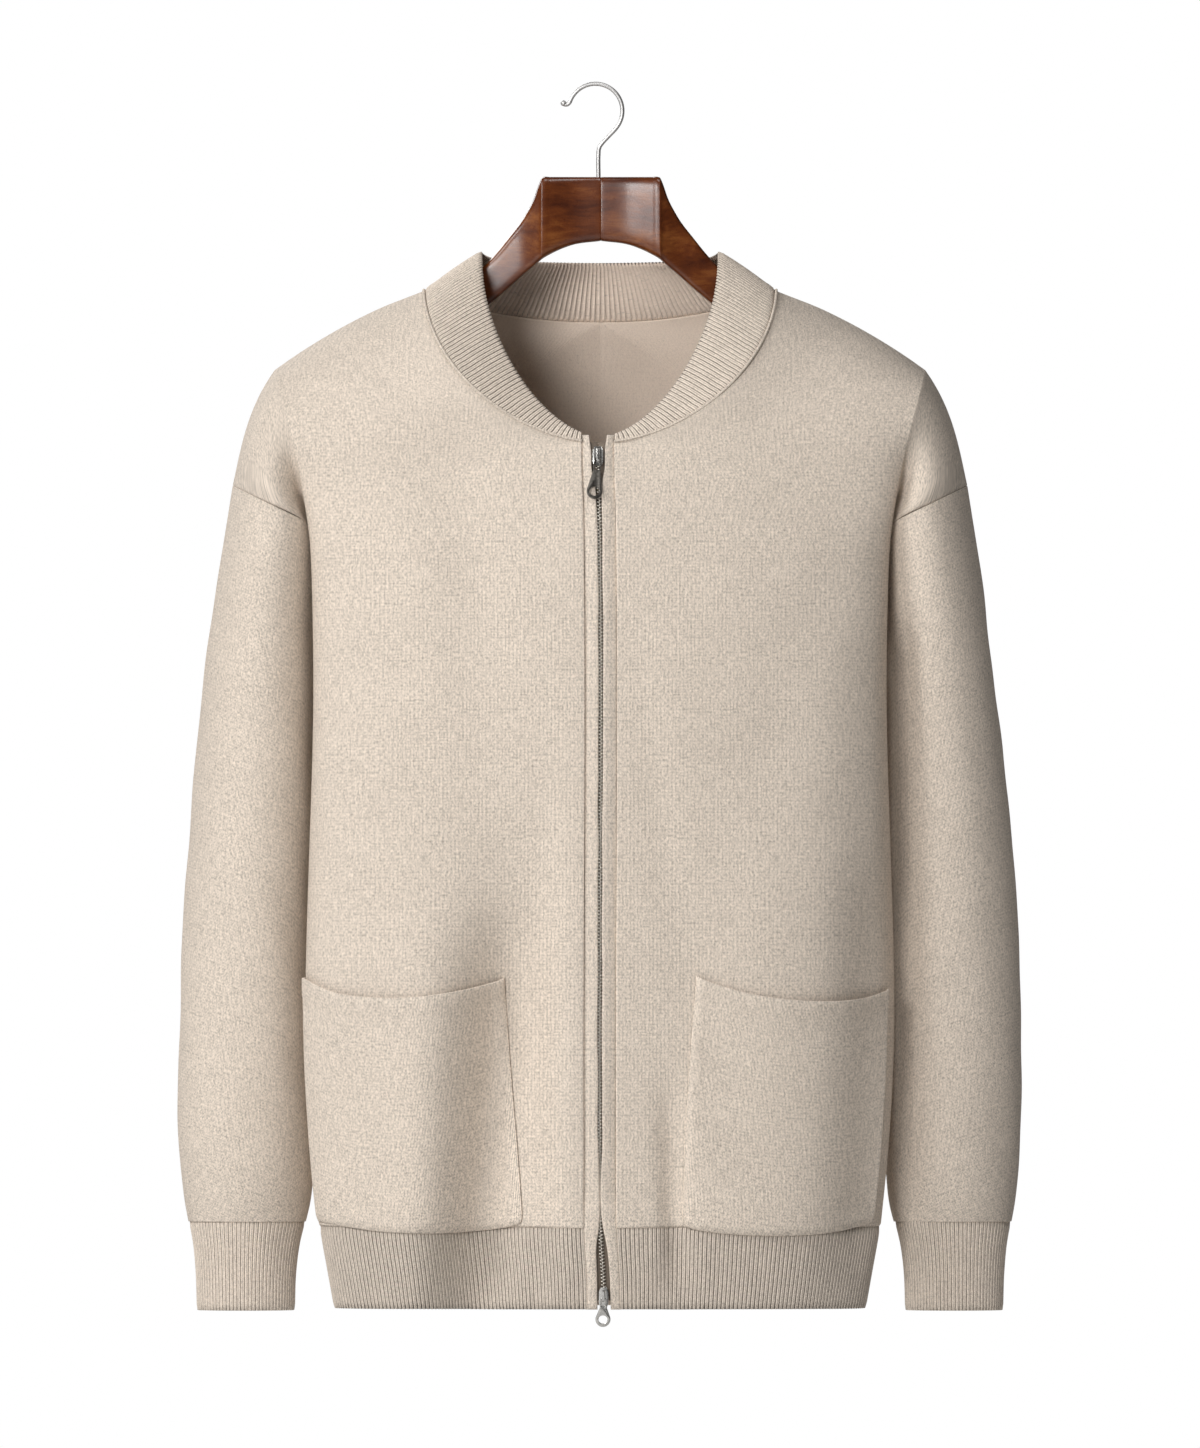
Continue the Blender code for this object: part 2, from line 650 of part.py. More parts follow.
# Sliders and their pulls, built flat on the front's own slope
class Slope:
    """A frame on the front: x across, out away from the cloth, up along it."""

    def __init__(self, z):
        rise_y = zip_face(z + 8) - zip_face(z - 8)
        self.up = np.array((0.0, rise_y, 16.0)) / math.hypot(rise_y, 16.0)
        self.out = np.array((0.0, -self.up[2], self.up[1]))
        self.at = np.array((float(smooth(ZIP, 1, z)), zip_face(z), z))

    def points(self, local):
        """Turns (x, out, up) into positions."""
        local = np.asarray(local, float)
        across = local[..., :1] * np.array((1.0, 0.0, 0.0))
        return self.at + across + local[..., 1:2] * self.out + local[..., 2:3] * self.up


def hidden(ob):
    """Keeps a Boolean's second object out of the part."""
    PARTS.objects.unlink(ob)
    CUTTERS.objects.link(ob)
    ob.hide_render = True
    ob.display_type = "WIRE"
    return ob


def combine(ob, other, operation):
    """Adds one exact Boolean."""
    step = ob.modifiers.new(operation.lower(), "BOOLEAN")
    step.operation = operation
    step.solver = "EXACT"
    step.object = hidden(other)


def slider(name, z, wide, tall, bridge):
    """A slider's front plate with the bridge that holds its pull."""
    frame = Slope(z)
    half = tall / 2
    rings = []
    for up, share in ((-half, 0.72), (-half * 0.7, 1.0), (half * 0.55, 1.0), (half, 0.66)):
        w = wide / 2 * share
        rings.append([(-w, -0.1, up), (w, -0.1, up), (w, 1.15, up), (-w, 1.15, up)])
    plate = bar(name, frame.points(rings), METAL)
    top, low = bridge
    path = ((0.6, top), (3.0, top), (3.9, top - 0.9), (3.9, low + 0.9), (3.0, low), (0.6, low))
    inner = [(0.6, top - 0.8), (2.7, top - 0.8), (3.15, top - 1.2)]
    inner += [(3.15, low + 1.2), (2.7, low + 0.8), (0.6, low + 0.8)]
    rings = []
    for (o1, u1), (o2, u2) in zip(path, inner):
        rings.append([(-1, o1, u1), (1, o1, u1), (1, o2, u2), (-1, o2, u2)])
    combine(plate, bar(name + "_bridge", frame.points(rings), METAL), "UNION")
    return frame


def slab(name, frame, outline, near, far, hinge_up, lean):
    """A flat outline of (x, up) given from the hinge bar, leaned to one side about the bar."""
    c, s = math.cos(lean), math.sin(lean)
    rings = []
    for out in (near, far):
        rings.append([(x * c - u * s, out, hinge_up + x * s + u * c) for x, u in outline])
    return bar(name, frame.points(rings), METAL)


def pull(name, frame, hinge_up, slot, drop, ring, hole, lean):
    """A pull: a bar under the slider's bridge, two arms beside a slot, and a ring at the end. It
    turns about the line across its bar, 2.15 off the cloth."""
    neck = (slot[1] + 0.5, -slot[0] - 0.8)
    outline = [(-neck[0], 0.55), (-neck[0] - 0.4, 0.1), (-neck[0] - 0.3, neck[1])]
    first = math.radians(160)
    for k in range(19):
        a = first + math.radians(220) * k / 18
        outline.append((ring * math.cos(a), -drop + ring * math.sin(a)))
    outline += [(neck[0] + 0.3, neck[1]), (neck[0] + 0.4, 0.1), (neck[0], 0.55)]
    plate = slab(name, frame, outline, 1.7, 2.6, hinge_up, lean)
    s0, s1 = -0.55, -slot[0]
    w = slot[1]
    window = [(-w, s0), (-w, s1 + 0.4), (-w + 0.5, s1), (w - 0.5, s1), (w, s1 + 0.4), (w, s0)]
    combine(plate, slab(name + "_slot", frame, window, 1.2, 3.1, hinge_up, lean), "DIFFERENCE")
    angles = np.arange(20) * math.pi / 10
    round_hole = [(hole[0] * math.cos(a), -drop + hole[1] * math.sin(a)) for a in angles]
    combine(plate, slab(name + "_hole", frame, round_hole, 1.2, 3.1, hinge_up, lean), "DIFFERENCE")


CUTTERS = bpy.data.collections.new("cutters")
bpy.context.scene.collection.children.link(CUTTERS)
upper = slider("slider_upper", -247.2, 7.0, 13.2, (5.0, -4.4))
pull("pull_upper", upper, -2.6, (7.8, 1.6), 22.5, 5.3, (3.3, 3.3), math.radians(-6))
lower = slider("slider_lower", -805.6, 6.4, 12.8, (4.4, -3.0))
pull("pull_lower", lower, -1.2, (5.2, 1.6), 13.6, 5.0, (3.0, 2.7), math.radians(-2))

# Hanger. distance from the middle, top, underside, front, back.
ARM = np.array(
    [
        (0.0, -60.5, -103.0, -8.0, 10.0),
        (20.0, -60.5, -106.0, -9.6, 11.0),
        (34.0, -60.5, -112.0, -13.0, 12.0),
        (39.0, -61.5, -114.8, -13.6, 13.0),
        (44.0, -69.5, -119.5, -11.0, 14.0),
        (52.5, -89.0, -126.5, -7.0, 15.5),
        (62.0, -101.5, -135.0, -4.5, 16.5),
        (77.0, -118.8, -147.0, -2.0, 17.5),
        (95.0, -130.0, -156.5, -2.5, 18.0),
        (117.0, -141.6, -167.0, -3.0, 18.5),
        (149.0, -154.4, -178.5, -3.5, 19.0),
        (187.0, -174.6, -194.5, -3.5, 19.0),
        (203.0, -186.0, -202.0, -2.0, 17.5),
        (209.0, -192.0, -201.0, 3.0, 13.0),
    ]
)


def arm_section(side, x, rounded=3.2, points=20):
    """A rounded section across one arm of the hanger."""
    top, low, front, rear = (float(smooth(ARM, k, x)) for k in (1, 2, 3, 4))
    ring = []
    for k in range(points):
        a = 2 * math.pi * (k + 0.5) / points
        c, s = math.cos(a), math.sin(a)
        y = (front + rear) / 2 + (rear - front) / 2 * math.copysign(abs(c) ** (2 / rounded), c)
        z = (top + low) / 2 + (top - low) / 2 * math.copysign(abs(s) ** (2 / rounded), s)
        ring.append((side * x + 0.6, y, z))
    return ring


ARM_STOPS = (0.15, 12, 24, 34, 39, 44, 52.5, 62, 77, 95, 117, 149, 187, 203, 209)
for side, tag in ((-1, "right"), (1, "left")):
    half = bar("hanger_" + tag, [arm_section(side, x) for x in ARM_STOPS], WOOD)
    if side < 0:
        rings = [
            [(-1.0 + 1.75 * math.cos(a), 1.75 * math.sin(a), z) for a in np.arange(24) * math.pi / 12]
            for z in (-86.0, -55.0)
        ]
        combine(half, bar("stem_bore", rings, WOOD), "DIFFERENCE")

# Hook: a curl with a ball tip, the bow, a straight run, a bend and the stem
BOW_X, BOW_Z, BOW_R = -3.07, -16.3, 18.0
path = [(-26.2, -10.6), (-25.9, -10.7), (-25.2, -10.9), (-24.4, -11.3), (-23.5, -11.8), (-22.6, -12.3)]
sizes = [0.3, 1.1, 1.75, 1.9, 1.75, 1.45]
path += [(-21.6, -12.3), (-20.7, -11.5)]
for degrees in np.linspace(160, -41.5, 27):
    a = math.radians(degrees)
    path.append((BOW_X + BOW_R * math.cos(a), BOW_Z + BOW_R * math.sin(a)))
path += [(4.6, -34.4), (1.6, -37.7), (0.0, -39.9), (-0.8, -42.0)]
path += [(-1.0, -45.0), (-1.0, -60.0), (-1.0, -84.0)]
sizes += [1.4] * (len(path) - len(sizes))
bar("hook", wire([(x, 0.0, z) for x, z in path], sizes, 14), STEEL)
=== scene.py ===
"""A zip-up knitted cardigan hanging on a wooden hanger, finished piece by piece.

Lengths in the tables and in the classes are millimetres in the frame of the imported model. They
become metres once, when a mesh is made. The front faces -Y, +X is the wearer's left, and the
wearer's right is on the viewer's left.
"""

import logging
import math
from dataclasses import dataclass
from enum import Enum
from typing import Callable, Sequence, Union

import bmesh
import bpy
import numpy as np
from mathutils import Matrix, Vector


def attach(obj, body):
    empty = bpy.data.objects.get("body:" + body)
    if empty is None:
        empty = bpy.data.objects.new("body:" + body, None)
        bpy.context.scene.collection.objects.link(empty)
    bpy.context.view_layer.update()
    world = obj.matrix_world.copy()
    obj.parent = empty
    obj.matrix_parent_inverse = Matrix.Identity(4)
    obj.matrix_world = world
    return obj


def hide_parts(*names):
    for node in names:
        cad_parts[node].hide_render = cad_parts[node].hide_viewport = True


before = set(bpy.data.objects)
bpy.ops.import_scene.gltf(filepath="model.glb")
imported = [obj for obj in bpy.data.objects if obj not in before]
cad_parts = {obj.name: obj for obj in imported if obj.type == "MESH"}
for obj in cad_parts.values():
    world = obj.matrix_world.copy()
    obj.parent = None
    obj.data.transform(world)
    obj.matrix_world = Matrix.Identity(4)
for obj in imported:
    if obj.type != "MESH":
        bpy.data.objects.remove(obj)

Array = np.ndarray
Level = Union[float, Array]
MM = 0.001
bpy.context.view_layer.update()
LOG = logging.getLogger("cardigan")


class Side(Enum):
    """The wearer's right and left, as the sign of X."""

    RIGHT = -1
    LEFT = 1

    @property
    def tag(self) -> str:
        """The side's word in the names of the nodes."""
        return self.name.lower()


class Slot(Enum):
    """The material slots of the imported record."""

    KNIT = "knit"
    RIB = "rib"
    TAPE = "tape"
    METAL = "zip_metal"
    WOOD = "wood"
    STEEL = "steel"


# ---- curves -------------------------------------------------------------------------------


def smooth(table: Array, column: int, at: Level) -> Array:
    """Reads a column of a table between its rows with cubic Hermite curves, whose slopes are the
    differences of the rows around them.

    Args:
        table: Rows whose first column is the place, rising or falling all the way.
        column: The column to read.
        at: Places along the first column, in any shape of array.

    Returns:
        The column's value at each place.
    """
    x, y = table[:, 0], table[:, column]
    if x[0] > x[-1]:
        x, y = x[::-1], y[::-1]
    slope = np.gradient(y, x)
    at = np.clip(np.asarray(at, float), x[0], x[-1])
    i = np.clip(np.searchsorted(x, at, side="right") - 1, 0, len(x) - 2)
    h = x[i + 1] - x[i]
    t = (at - x[i]) / h
    return (
        (2 * t**3 - 3 * t**2 + 1) * y[i]
        + (t**3 - 2 * t**2 + t) * h * slope[i]
        + (3 * t**2 - 2 * t**3) * y[i + 1]
        + (t**3 - t**2) * h * slope[i + 1]
    )


def power(base: Level, exponent: float) -> Array:
    """A power of a value that rounding may have left just below zero."""
    return np.maximum(base, 0.0) ** exponent


def ramp(value: Level, low: float, high: float) -> Array:
    """Goes from 0 at low to 1 at high along 3t^2 - 2t^3."""
    t = np.clip((np.asarray(value, float) - low) / (high - low), 0.0, 1.0)
    return t * t * (3 - 2 * t)


def stack(x: Level, y: Level, z: Level) -> Array:
    """Joins three coordinates into points."""
    return np.stack(np.broadcast_arrays(x, y, z), axis=-1)


def run_of(points: Array, axis: int) -> Array:
    """Length travelled along one axis of a grid of points, from its first row or column.

    Args:
        points: A grid of points, or one line of them.
        axis: The axis to travel along.

    Returns:
        The running length at each point.
    """
    step = np.linalg.norm(np.diff(points, axis=axis), axis=-1)
    first = np.zeros_like(np.take(step, [0], axis=axis))
    return np.cumsum(np.concatenate((first, step), axis=axis), axis=axis)


def even(share: Level, curve: Callable[[Array], Array], count: int = 241) -> Array:
    """The parameter at which a curve has covered the wanted part of its length.

    Args:
        share: Parts of the curve's length, from 0 to 1.
        curve: The curve's points at parameters from 0 to 1.
        count: How finely the curve is measured.

    Returns:
        One parameter for each share.
    """
    s = np.linspace(0, 1, count)
    run = run_of(curve(s), 0)
    return np.interp(share, run / run[-1], s)


def stops(count: int, first: bool = True, last: bool = True) -> Array:
    """Even shares from 0 to 1, with a few close ones at the ends that carry a rounded rim.

    Args:
        count: Number of even spans.
        first: Whether the start has a rim.
        last: Whether the end has one.

    Returns:
        Rising shares.
    """
    rim = np.array([0.0006, 0.0018, 0.004])
    parts = [np.linspace(0, 1, count + 1)]
    if first:
        parts.append(rim)
    if last:
        parts.append(1 - rim)
    return np.unique(np.concatenate(parts))


def wobble(points: Array, length: float, seed: int, waves: int = 9) -> Array:
    """A gentle random field in space: the mean of sine waves with seeded headings and phases.

    Args:
        points: Places in millimetres.
        length: Mean wavelength in millimetres.
        seed: Seed of the headings.
        waves: Number of waves.

    Returns:
        Values of about -1 to 1, one for each place.
    """
    rng = np.random.default_rng(seed)
    heading = rng.normal(size=(waves, 3)) * (1.0, 1.0, 0.55)
    heading /= np.linalg.norm(heading, axis=1, keepdims=True)
    stride = length * rng.uniform(0.7, 1.5, waves)
    phase = rng.uniform(0, 2 * math.pi, waves)
    turn = points @ (heading * (2 * math.pi / stride)[:, None]).T + phase
    return np.sin(turn).sum(axis=-1) / math.sqrt(waves)


def halves(turn: Array) -> tuple[Array, Array]:
    """Which half of a ring each turn is in, -1 in front and 1 behind, and its turn in that half."""
    front = turn <= math.pi
    return np.where(front, -1.0, 1.0), np.where(front, turn, 2 * math.pi - turn)


# ---- the garment's form -------------------------------------------------------------------

# z, half width, front at the middle, back at the middle
BODY = np.array(
    [
        (-814, 177.0, -92, 86),
        (-790, 181.3, -94, 90),
        (-760, 186.6, -96, 93),
        (-730, 190.2, -97, 95),
        (-690, 193.4, -99, 96),
        (-650, 195.6, -101, 97),
        (-610, 196.3, -102, 97),
        (-560, 195.2, -105, 97),
        (-500, 193.2, -106, 97),
        (-409, 190.7, -106, 96),
        (-356, 191.2, -103, 96),
        (-306, 192.3, -98, 95),
        (-270, 192.3, -90, 96),
        (-236, 192.3, -80, 95),
    ]
)

# z, inner edge, outer edge, half depth, middle in y
SLEEVE = np.array(
    [
        (-816, 203.4, 268.9, 27.5, 10),
        (-789, 202.4, 269.8, 28.0, 10),
        (-769, 199.6, 271.8, 30.5, 10),
        (-757, 196.4, 274.2, 34.0, 10.5),
        (-745, 193.2, 276.8, 38.0, 11),
        (-729, 191.6, 279.0, 41.5, 11.5),
        (-700, 191.5, 281.0, 45.0, 12),
        (-660, 191.8, 281.8, 48.0, 12.5),
        (-610, 191.6, 280.4, 50.5, 13),
        (-560, 191.0, 278.2, 53.0, 13.5),
        (-500, 189.6, 274.4, 56.0, 14),
        (-440, 188.0, 269.2, 59.5, 14),
        (-380, 186.6, 262.0, 63.0, 13.5),
        (-330, 185.4, 255.4, 66.0, 12.5),
        (-306, 184.6, 251.4, 67.5, 12),
        (-266, 184.6, 245.0, 68.0, 12),
    ]
)

# share of the way from the underarm to the shoulder, x, y, z, two offsets of the fold beside it
FRONT_EDGE = np.array(
    [
        (0.00, 192.3, -35, -306, -2.1, 0, -2.0, 0),
        (0.12, 193.5, -38, -298, -5.2, 20, -2.3, 13),
        (0.25, 195.5, -44, -285, -5.5, 19, -2.6, 10),
        (0.40, 198.7, -50, -266, -1.5, 12, -0.5, 2),
        (0.55, 203.0, -56, -242, -0.5, 4, 0.0, -3),
        (0.68, 207.5, -59, -225, 0.0, -1, 0.5, -5),
        (0.78, 211.0, -54, -212, 1.0, -4, 1.2, -6.5),
        (0.87, 214.0, -42, -201, 2.5, -6, 2.0, -7),
        (0.94, 216.0, -24, -193.5, 4.0, -5, 3.0, -5),
        (1.00, 217.0, 8, -189, 5.0, 0, 3.4, 0),
    ]
)
BACK_EDGE = np.array(
    [
        (0.00, 176.0, 30.3, -306, 0.4, 0, 0.3, 0),
        (0.12, 179.0, 37, -298, 0.0, -11, 0.0, -6),
        (0.25, 183.0, 49, -285, 0.0, -12, 0.0, -6),
        (0.40, 188.0, 61, -266, 0.0, -9, 0.0, -3),
        (0.55, 194.0, 66, -244, 0.0, -5, 0.0, 0),
        (0.68, 200.0, 64, -225, 0.0, -1, 0.5, 4),
        (0.78, 205.0, 57, -212, 1.0, 2, 1.2, 6),
        (0.87, 210.0, 44, -201, 2.5, 5, 2.0, 7),
        (0.94, 214.5, 26, -193.5, 4.0, 4, 3.0, 5),
        (1.00, 217.0, 8, -189, 5.0, 0, 3.4, 0),
    ]
)
RIDGE = np.array([(110, -133), (117, -136), (149.5, -149), (187, -169), (205, -180.5), (217, -189)])

# z, middle of the zip, half the gap between the bands
ZIP = np.array(
    [
        (-814, 2.6, 4.3),
        (-790, 2.0, 4.2),
        (-772, 0.8, 3.2),
        (-760, 0.3, 1.35),
        (-700, 0.0, 1.35),
        (-300, 0.0, 1.35),
        (-280, -0.3, 1.35),
        (-264, -0.9, 2.4),
        (-256, -1.2, 4.2),
        (-244, -1.3, 4.4),
        (-233, -1.3, 5.6),
    ]
)

# Folds pressed into the cloth. Both ends as x and z, half width, depth, and 1 for the front or
# -1 for the back. A negative depth stands out.
FOLDS = np.array(
    [
        (-84, -350, -79, -600, 32, 5.0, 1),
        (-50, -640, -66, -800, 45, 9.0, 1),
        (-67, -640, -80, -775, 25, 24.0, 1),
        (-38, -640, -40, -775, 15, 3.5, 1),
        (48, -705, 51, -776, 10, 6.0, 1),
        (29, -746, 31, -768, 3.2, 1.3, 1),
        (45, -744, 47, -768, 3.2, 1.5, 1),
        (24, -430, 62, -604, 17, 2.2, 1),
        (-114, -640, -120, -765, 25, -6.0, 1),
        (114, -640, 116, -735, 42, -4.0, 1),
        (184, -580, 176, -742, 20, 15.0, 1),
        (200, -390, 202, -742, 10, 15.0, 1),
        (150, -330, 120, -420, 24, 1.8, 1),
        (-152, -330, -128, -430, 22, 1.6, 1),
        (0, -250, 0, -700, 46, 2.6, -1),
        (-122, -260, -70, -420, 26, 2.4, -1),
        (126, -262, 78, -440, 28, 2.2, -1),
        (-96, -560, -88, -770, 30, 3.0, -1),
        (92, -540, 99, -770, 32, 2.6, -1),
        (-10, -640, 6, -772, 22, 1.8, -1),
    ]
)


@dataclass(frozen=True)
class Form:
    """The hanging cardigan's outside, before any seam or stitch."""

    hem_bottom: float = -814.0
    hem_top: float = -760.0
    underarm: float = -306.0
    neck_front_z: float = -237.2
    band: float = 10.5
    band_top: float = -233.0
    cuff_top: float = -757.0
    cuff_bottom: float = -816.0
    ridge_y: float = 8.0
    side_y: float = 15.0
    widest_y: float = -35.0
    arm_y: float = 12.0
    front_bow: float = 2.5
    back_bow: float = 2.4
    front_turn: float = 0.28
    back_turn: float = 0.5
    armhole_top: float = -266.0
    shoulder_z: float = -136.0
    neck_half: float = 117.0
    neck_bow: float = 1.8
    neck_drop: float = 102.0
    neck_ahead: float = 88.0
    neck_behind: float = 62.0
    nape_drop: float = 20.5
    collar_half: float = 79.3
    collar_bow: float = 1.7
    collar_top: float = -114.0

    def front_depth(self, z: Level, x: Level) -> Array:
        """Depth of the front: a superellipse from its widest place to its middle.

        Args:
            z: Height.
            x: Distance from the middle.

        Returns:
            The y of the cloth's outside.
        """
        w, mid = smooth(BODY, 1, z), smooth(BODY, 2, z)
        bow = self.front_bow
        return self.widest_y + (mid - self.widest_y) * power(1 - (x / w) ** bow, 1 / bow)

    def side_x(self, z: Level, y: Level) -> Array:
        """Half width behind the widest place: the back's superellipse, met by a square curve that
        leaves room for the hanging arm.

        Args:
            z: Height.
            y: Depth.

        Returns:
            The distance from the middle.
        """
        w, back = smooth(BODY, 1, z), smooth(BODY, 3, z)
        y_back = np.maximum(y, self.side_y)
        share = power((y_back - self.widest_y) / (back - self.widest_y), self.back_bow)
        x_back = w * power(1 - share, 1 / self.back_bow)
        ahead = np.clip((self.side_y - y) / (self.side_y - self.widest_y), 0, 1)
        return x_back + (w - x_back) * ahead**2

    def band_edge(self, side: Side, z: Level) -> Array:
        """Distance from the middle to the body panel's front edge."""
        return self.band + 0.1 + side.value * smooth(ZIP, 1, z)

    def lower_front(self, side: Side, z: Array, across: Array, around: Array) -> Array:
        """Level rows of the front: a superellipse from the band to the widest place, then the
        side's curve to the side seam.

        Args:
            side: The panel's side.
            z: Heights of the rows.
            across: Shares of the superellipse's turn.
            around: Shares of the way to the side seam, from 0.

        Returns:
            A grid of points, on +X.
        """
        z = z[:, None]
        w, mid = smooth(BODY, 1, z), smooth(BODY, 2, z)
        start = np.arcsin((self.band_edge(side, z) / w) ** (self.front_bow / 2))
        turn = start + (math.pi / 2 - start) * across
        x = w * power(np.sin(turn), 2 / self.front_bow)
        y = self.widest_y + (mid - self.widest_y) * power(np.cos(turn), 2 / self.front_bow)
        y2 = self.widest_y + (self.side_y - self.widest_y) * around[1:] + 0 * z
        x = np.concatenate((x, self.side_x(z, y2)), axis=1)
        return stack(x, np.concatenate((y, y2), axis=1), z)

    def lower_back(self, z: Array, across: Array, around: Array) -> Array:
        """Level rows of half the back: a superellipse from the middle, then a line in y to the
        side seam.

        Args:
            z: Heights of the rows.
            across: Shares of the superellipse's turn.
            around: Shares of the way to the side seam, from 0.

        Returns:
            A grid of points, on +X.
        """
        z = z[:, None]
        w, back = smooth(BODY, 1, z), smooth(BODY, 3, z)
        edge = BACK_EDGE[0, 1] / BODY[-1, 1]
        turn = np.arcsin(edge ** (self.back_bow / 2)) * across + 0 * z
        x = w * power(np.sin(turn), 2 / self.back_bow)
        y = self.widest_y + (back - self.widest_y) * power(np.cos(turn), 2 / self.back_bow)
        y2 = y[:, -1:] + (self.side_y - y[:, -1:]) * around[1:]
        x = np.concatenate((x, self.side_x(z, y2)), axis=1)
        return stack(x, np.concatenate((y, y2), axis=1), z)

    def armhole(self, turn: Level, way: Level) -> Array:
        """The armhole seam.

        Args:
            turn: From the underarm (0) over the arm to its top (pi).
            way: -1 for the seam's front half, 1 for its back half.

        Returns:
            Points on +X.
        """
        lean = np.cos(turn)
        z = self.armhole_top - 28.5 * (1 + lean) / 2 - 11.5 * power(lean, 6)
        return self.sleeve_point(z, turn, way)

    def sleeve_point(self, z: Level, turn: Level, way: Level) -> Array:
        """The sleeve's outside: an ellipse at each height, eased back to the side seam under the
        arm.

        Args:
            z: Height.
            turn: Turn about the sleeve's middle from its inner edge.
            way: -1 in front, 1 behind.

        Returns:
            Points on +X.
        """
        inner, outer = smooth(SLEEVE, 1, z), smooth(SLEEVE, 2, z)
        x = (inner + outer) / 2 - (outer - inner) / 2 * np.cos(turn)
        y = smooth(SLEEVE, 4, z) + way * smooth(SLEEVE, 3, z) * np.sin(turn)
        at_seam = np.clip((z + 330) / 24, 0, 1) * power(np.cos(turn), 8)
        return stack(x, y + (self.side_y - self.arm_y) * at_seam, z)

    def neck_front(self, side: Side, share: Level) -> Array:
        """The front neckline: a superellipse seen from the front, set back towards the shoulder.

        Args:
            side: The panel's side.
            share: From the band (0) to the shoulder (1).

        Returns:
            Points on +X.
        """
        bow, half, top = self.neck_bow, self.neck_half, self.shoulder_z
        start = np.arcsin((self.band_edge(side, self.neck_front_z) / half) ** (bow / 2))
        turn = start + (math.pi / 2 - start) * np.asarray(share, float)
        x = half * power(np.sin(turn), 2 / bow)
        z = top - self.neck_drop * power(np.cos(turn), 2 / bow)
        below = np.clip((top + 0.38 * (half - x) - z) / 95, 0, 1)
        return stack(x, self.ridge_y - self.neck_ahead * power(1 - (1 - below) ** bow, 1 / bow), z)

    def neck_back(self, share: Level) -> Array:
        """The back neckline: half an ellipse seen from above, that rises towards the shoulder.

        Args:
            share: From the middle of the back (0) to the shoulder (1).

        Returns:
            Points on +X.
        """
        turn = math.pi / 2 * np.asarray(share, float)
        rear = power(np.cos(turn), 1.0)
        y = self.ridge_y + self.neck_behind * rear
        return stack(self.neck_half * np.sin(turn), y, self.shoulder_z - self.nape_drop * rear**1.7)

    def front_start(self, side: Side, share: Array) -> Array:
        """Where the front's upper rows start: up the band, then along the neckline.

        Args:
            side: The panel's side.
            share: The rows' shares of the way up.

        Returns:
            One point for each row.
        """
        z = self.underarm + (self.neck_front_z - self.underarm) * share / self.front_turn
        z = np.minimum(z, self.neck_front_z)
        on_band = stack(self.band_edge(side, z), smooth(BODY, 2, z), z)
        part = np.clip((share - self.front_turn) / (1 - self.front_turn), 0, 1)
        on_neck = self.neck_front(side, even(part, lambda s: self.neck_front(side, s)))
        return np.where((share <= self.front_turn)[:, None], on_band, on_neck)

    def back_start(self, share: Array) -> Array:
        """Where the back's upper rows start: up its middle, then along the neckline.

        Args:
            share: The rows' shares of the way up.

        Returns:
            One point for each row.
        """
        q = np.clip(share / self.back_turn, 0, 1)
        z = self.underarm + (self.shoulder_z - self.nape_drop - self.underarm) * q
        on_middle = stack(0.0 * q, 95 - 25 * q**2.2, z)
        part = np.clip((share - self.back_turn) / (1 - self.back_turn), 0, 1)
        on_neck = self.neck_back(even(part, self.neck_back))
        return np.where((share <= self.back_turn)[:, None], on_middle, on_neck)

    def upper(self, start: Array, table: Array, share: Array, way: int, across: Array,
              around: Array) -> Array:
        """Rows above the underarm: a superellipse from the middle or the neckline to the panel's
        edge, then a cubic through four points to the armhole seam.

        Args:
            start: Where each row starts.
            table: FRONT_EDGE or BACK_EDGE.
            share: The rows' shares of the way up.
            way: -1 for the front, 1 for the back.
            across: Shares of the superellipse's turn.
            around: Shares of the way to the armhole seam, from 0.

        Returns:
            A grid of points, on +X.
        """
        bow = self.front_bow if way < 0 else self.back_bow
        edge = np.stack([smooth(table, k, share) for k in (1, 2, 3)], axis=-1)
        beyond = (0.0 if way < 0 else 16.3) + 22 * np.clip((share - 0.3) / 0.5, 0, 1) ** 2
        wide = (edge[:, 0] + beyond)[:, None]
        x0, x1 = start[:, :1], edge[:, :1]
        first = np.arcsin((x0 / wide) ** (bow / 2))
        last = np.arcsin(np.minimum(1.0, (x1 / wide) ** (bow / 2)))
        x = wide * power(np.sin(first + (last - first) * across), 2 / bow)
        k0, k1, k = (power(1 - (v / wide) ** bow, 1 / bow) for v in (x0, x1, x))
        y = edge[:, 1:2] + (start[:, 1:2] - edge[:, 1:2]) * (k - k1) / (k0 - k1)
        part = (x - x0) / (x1 - x0)
        z = start[:, 2:3] + (edge[:, 2:3] - start[:, 2:3]) * part
        top = np.clip((share[:, None] - 0.6) / 0.4, 0, 1) ** 2
        z = z + top * (smooth(RIDGE, 1, x) - (self.shoulder_z - 53 * part))
        seam = self.armhole(math.pi * share, way)
        offset = np.stack([smooth(table, k, share) for k in (4, 5, 6, 7)], axis=-1)
        flat = np.zeros((len(share), 1))
        second = edge + 0.35 * (seam - edge) + np.concatenate((offset[:, :2], flat), axis=1)
        third = edge + 0.7 * (seam - edge) + np.concatenate((offset[:, 2:], flat), axis=1)
        at = (0.0, 0.35, 0.7, 1.0)
        outer = 0.0
        for i, point in enumerate((edge, second, third, seam)):
            weight = np.prod([(around[1:] - a) / (at[i] - a) for a in at if a != at[i]], axis=0)
            outer = outer + weight[None, :, None] * point[:, None, :]
        return np.concatenate((stack(x, y, z), outer), axis=1)

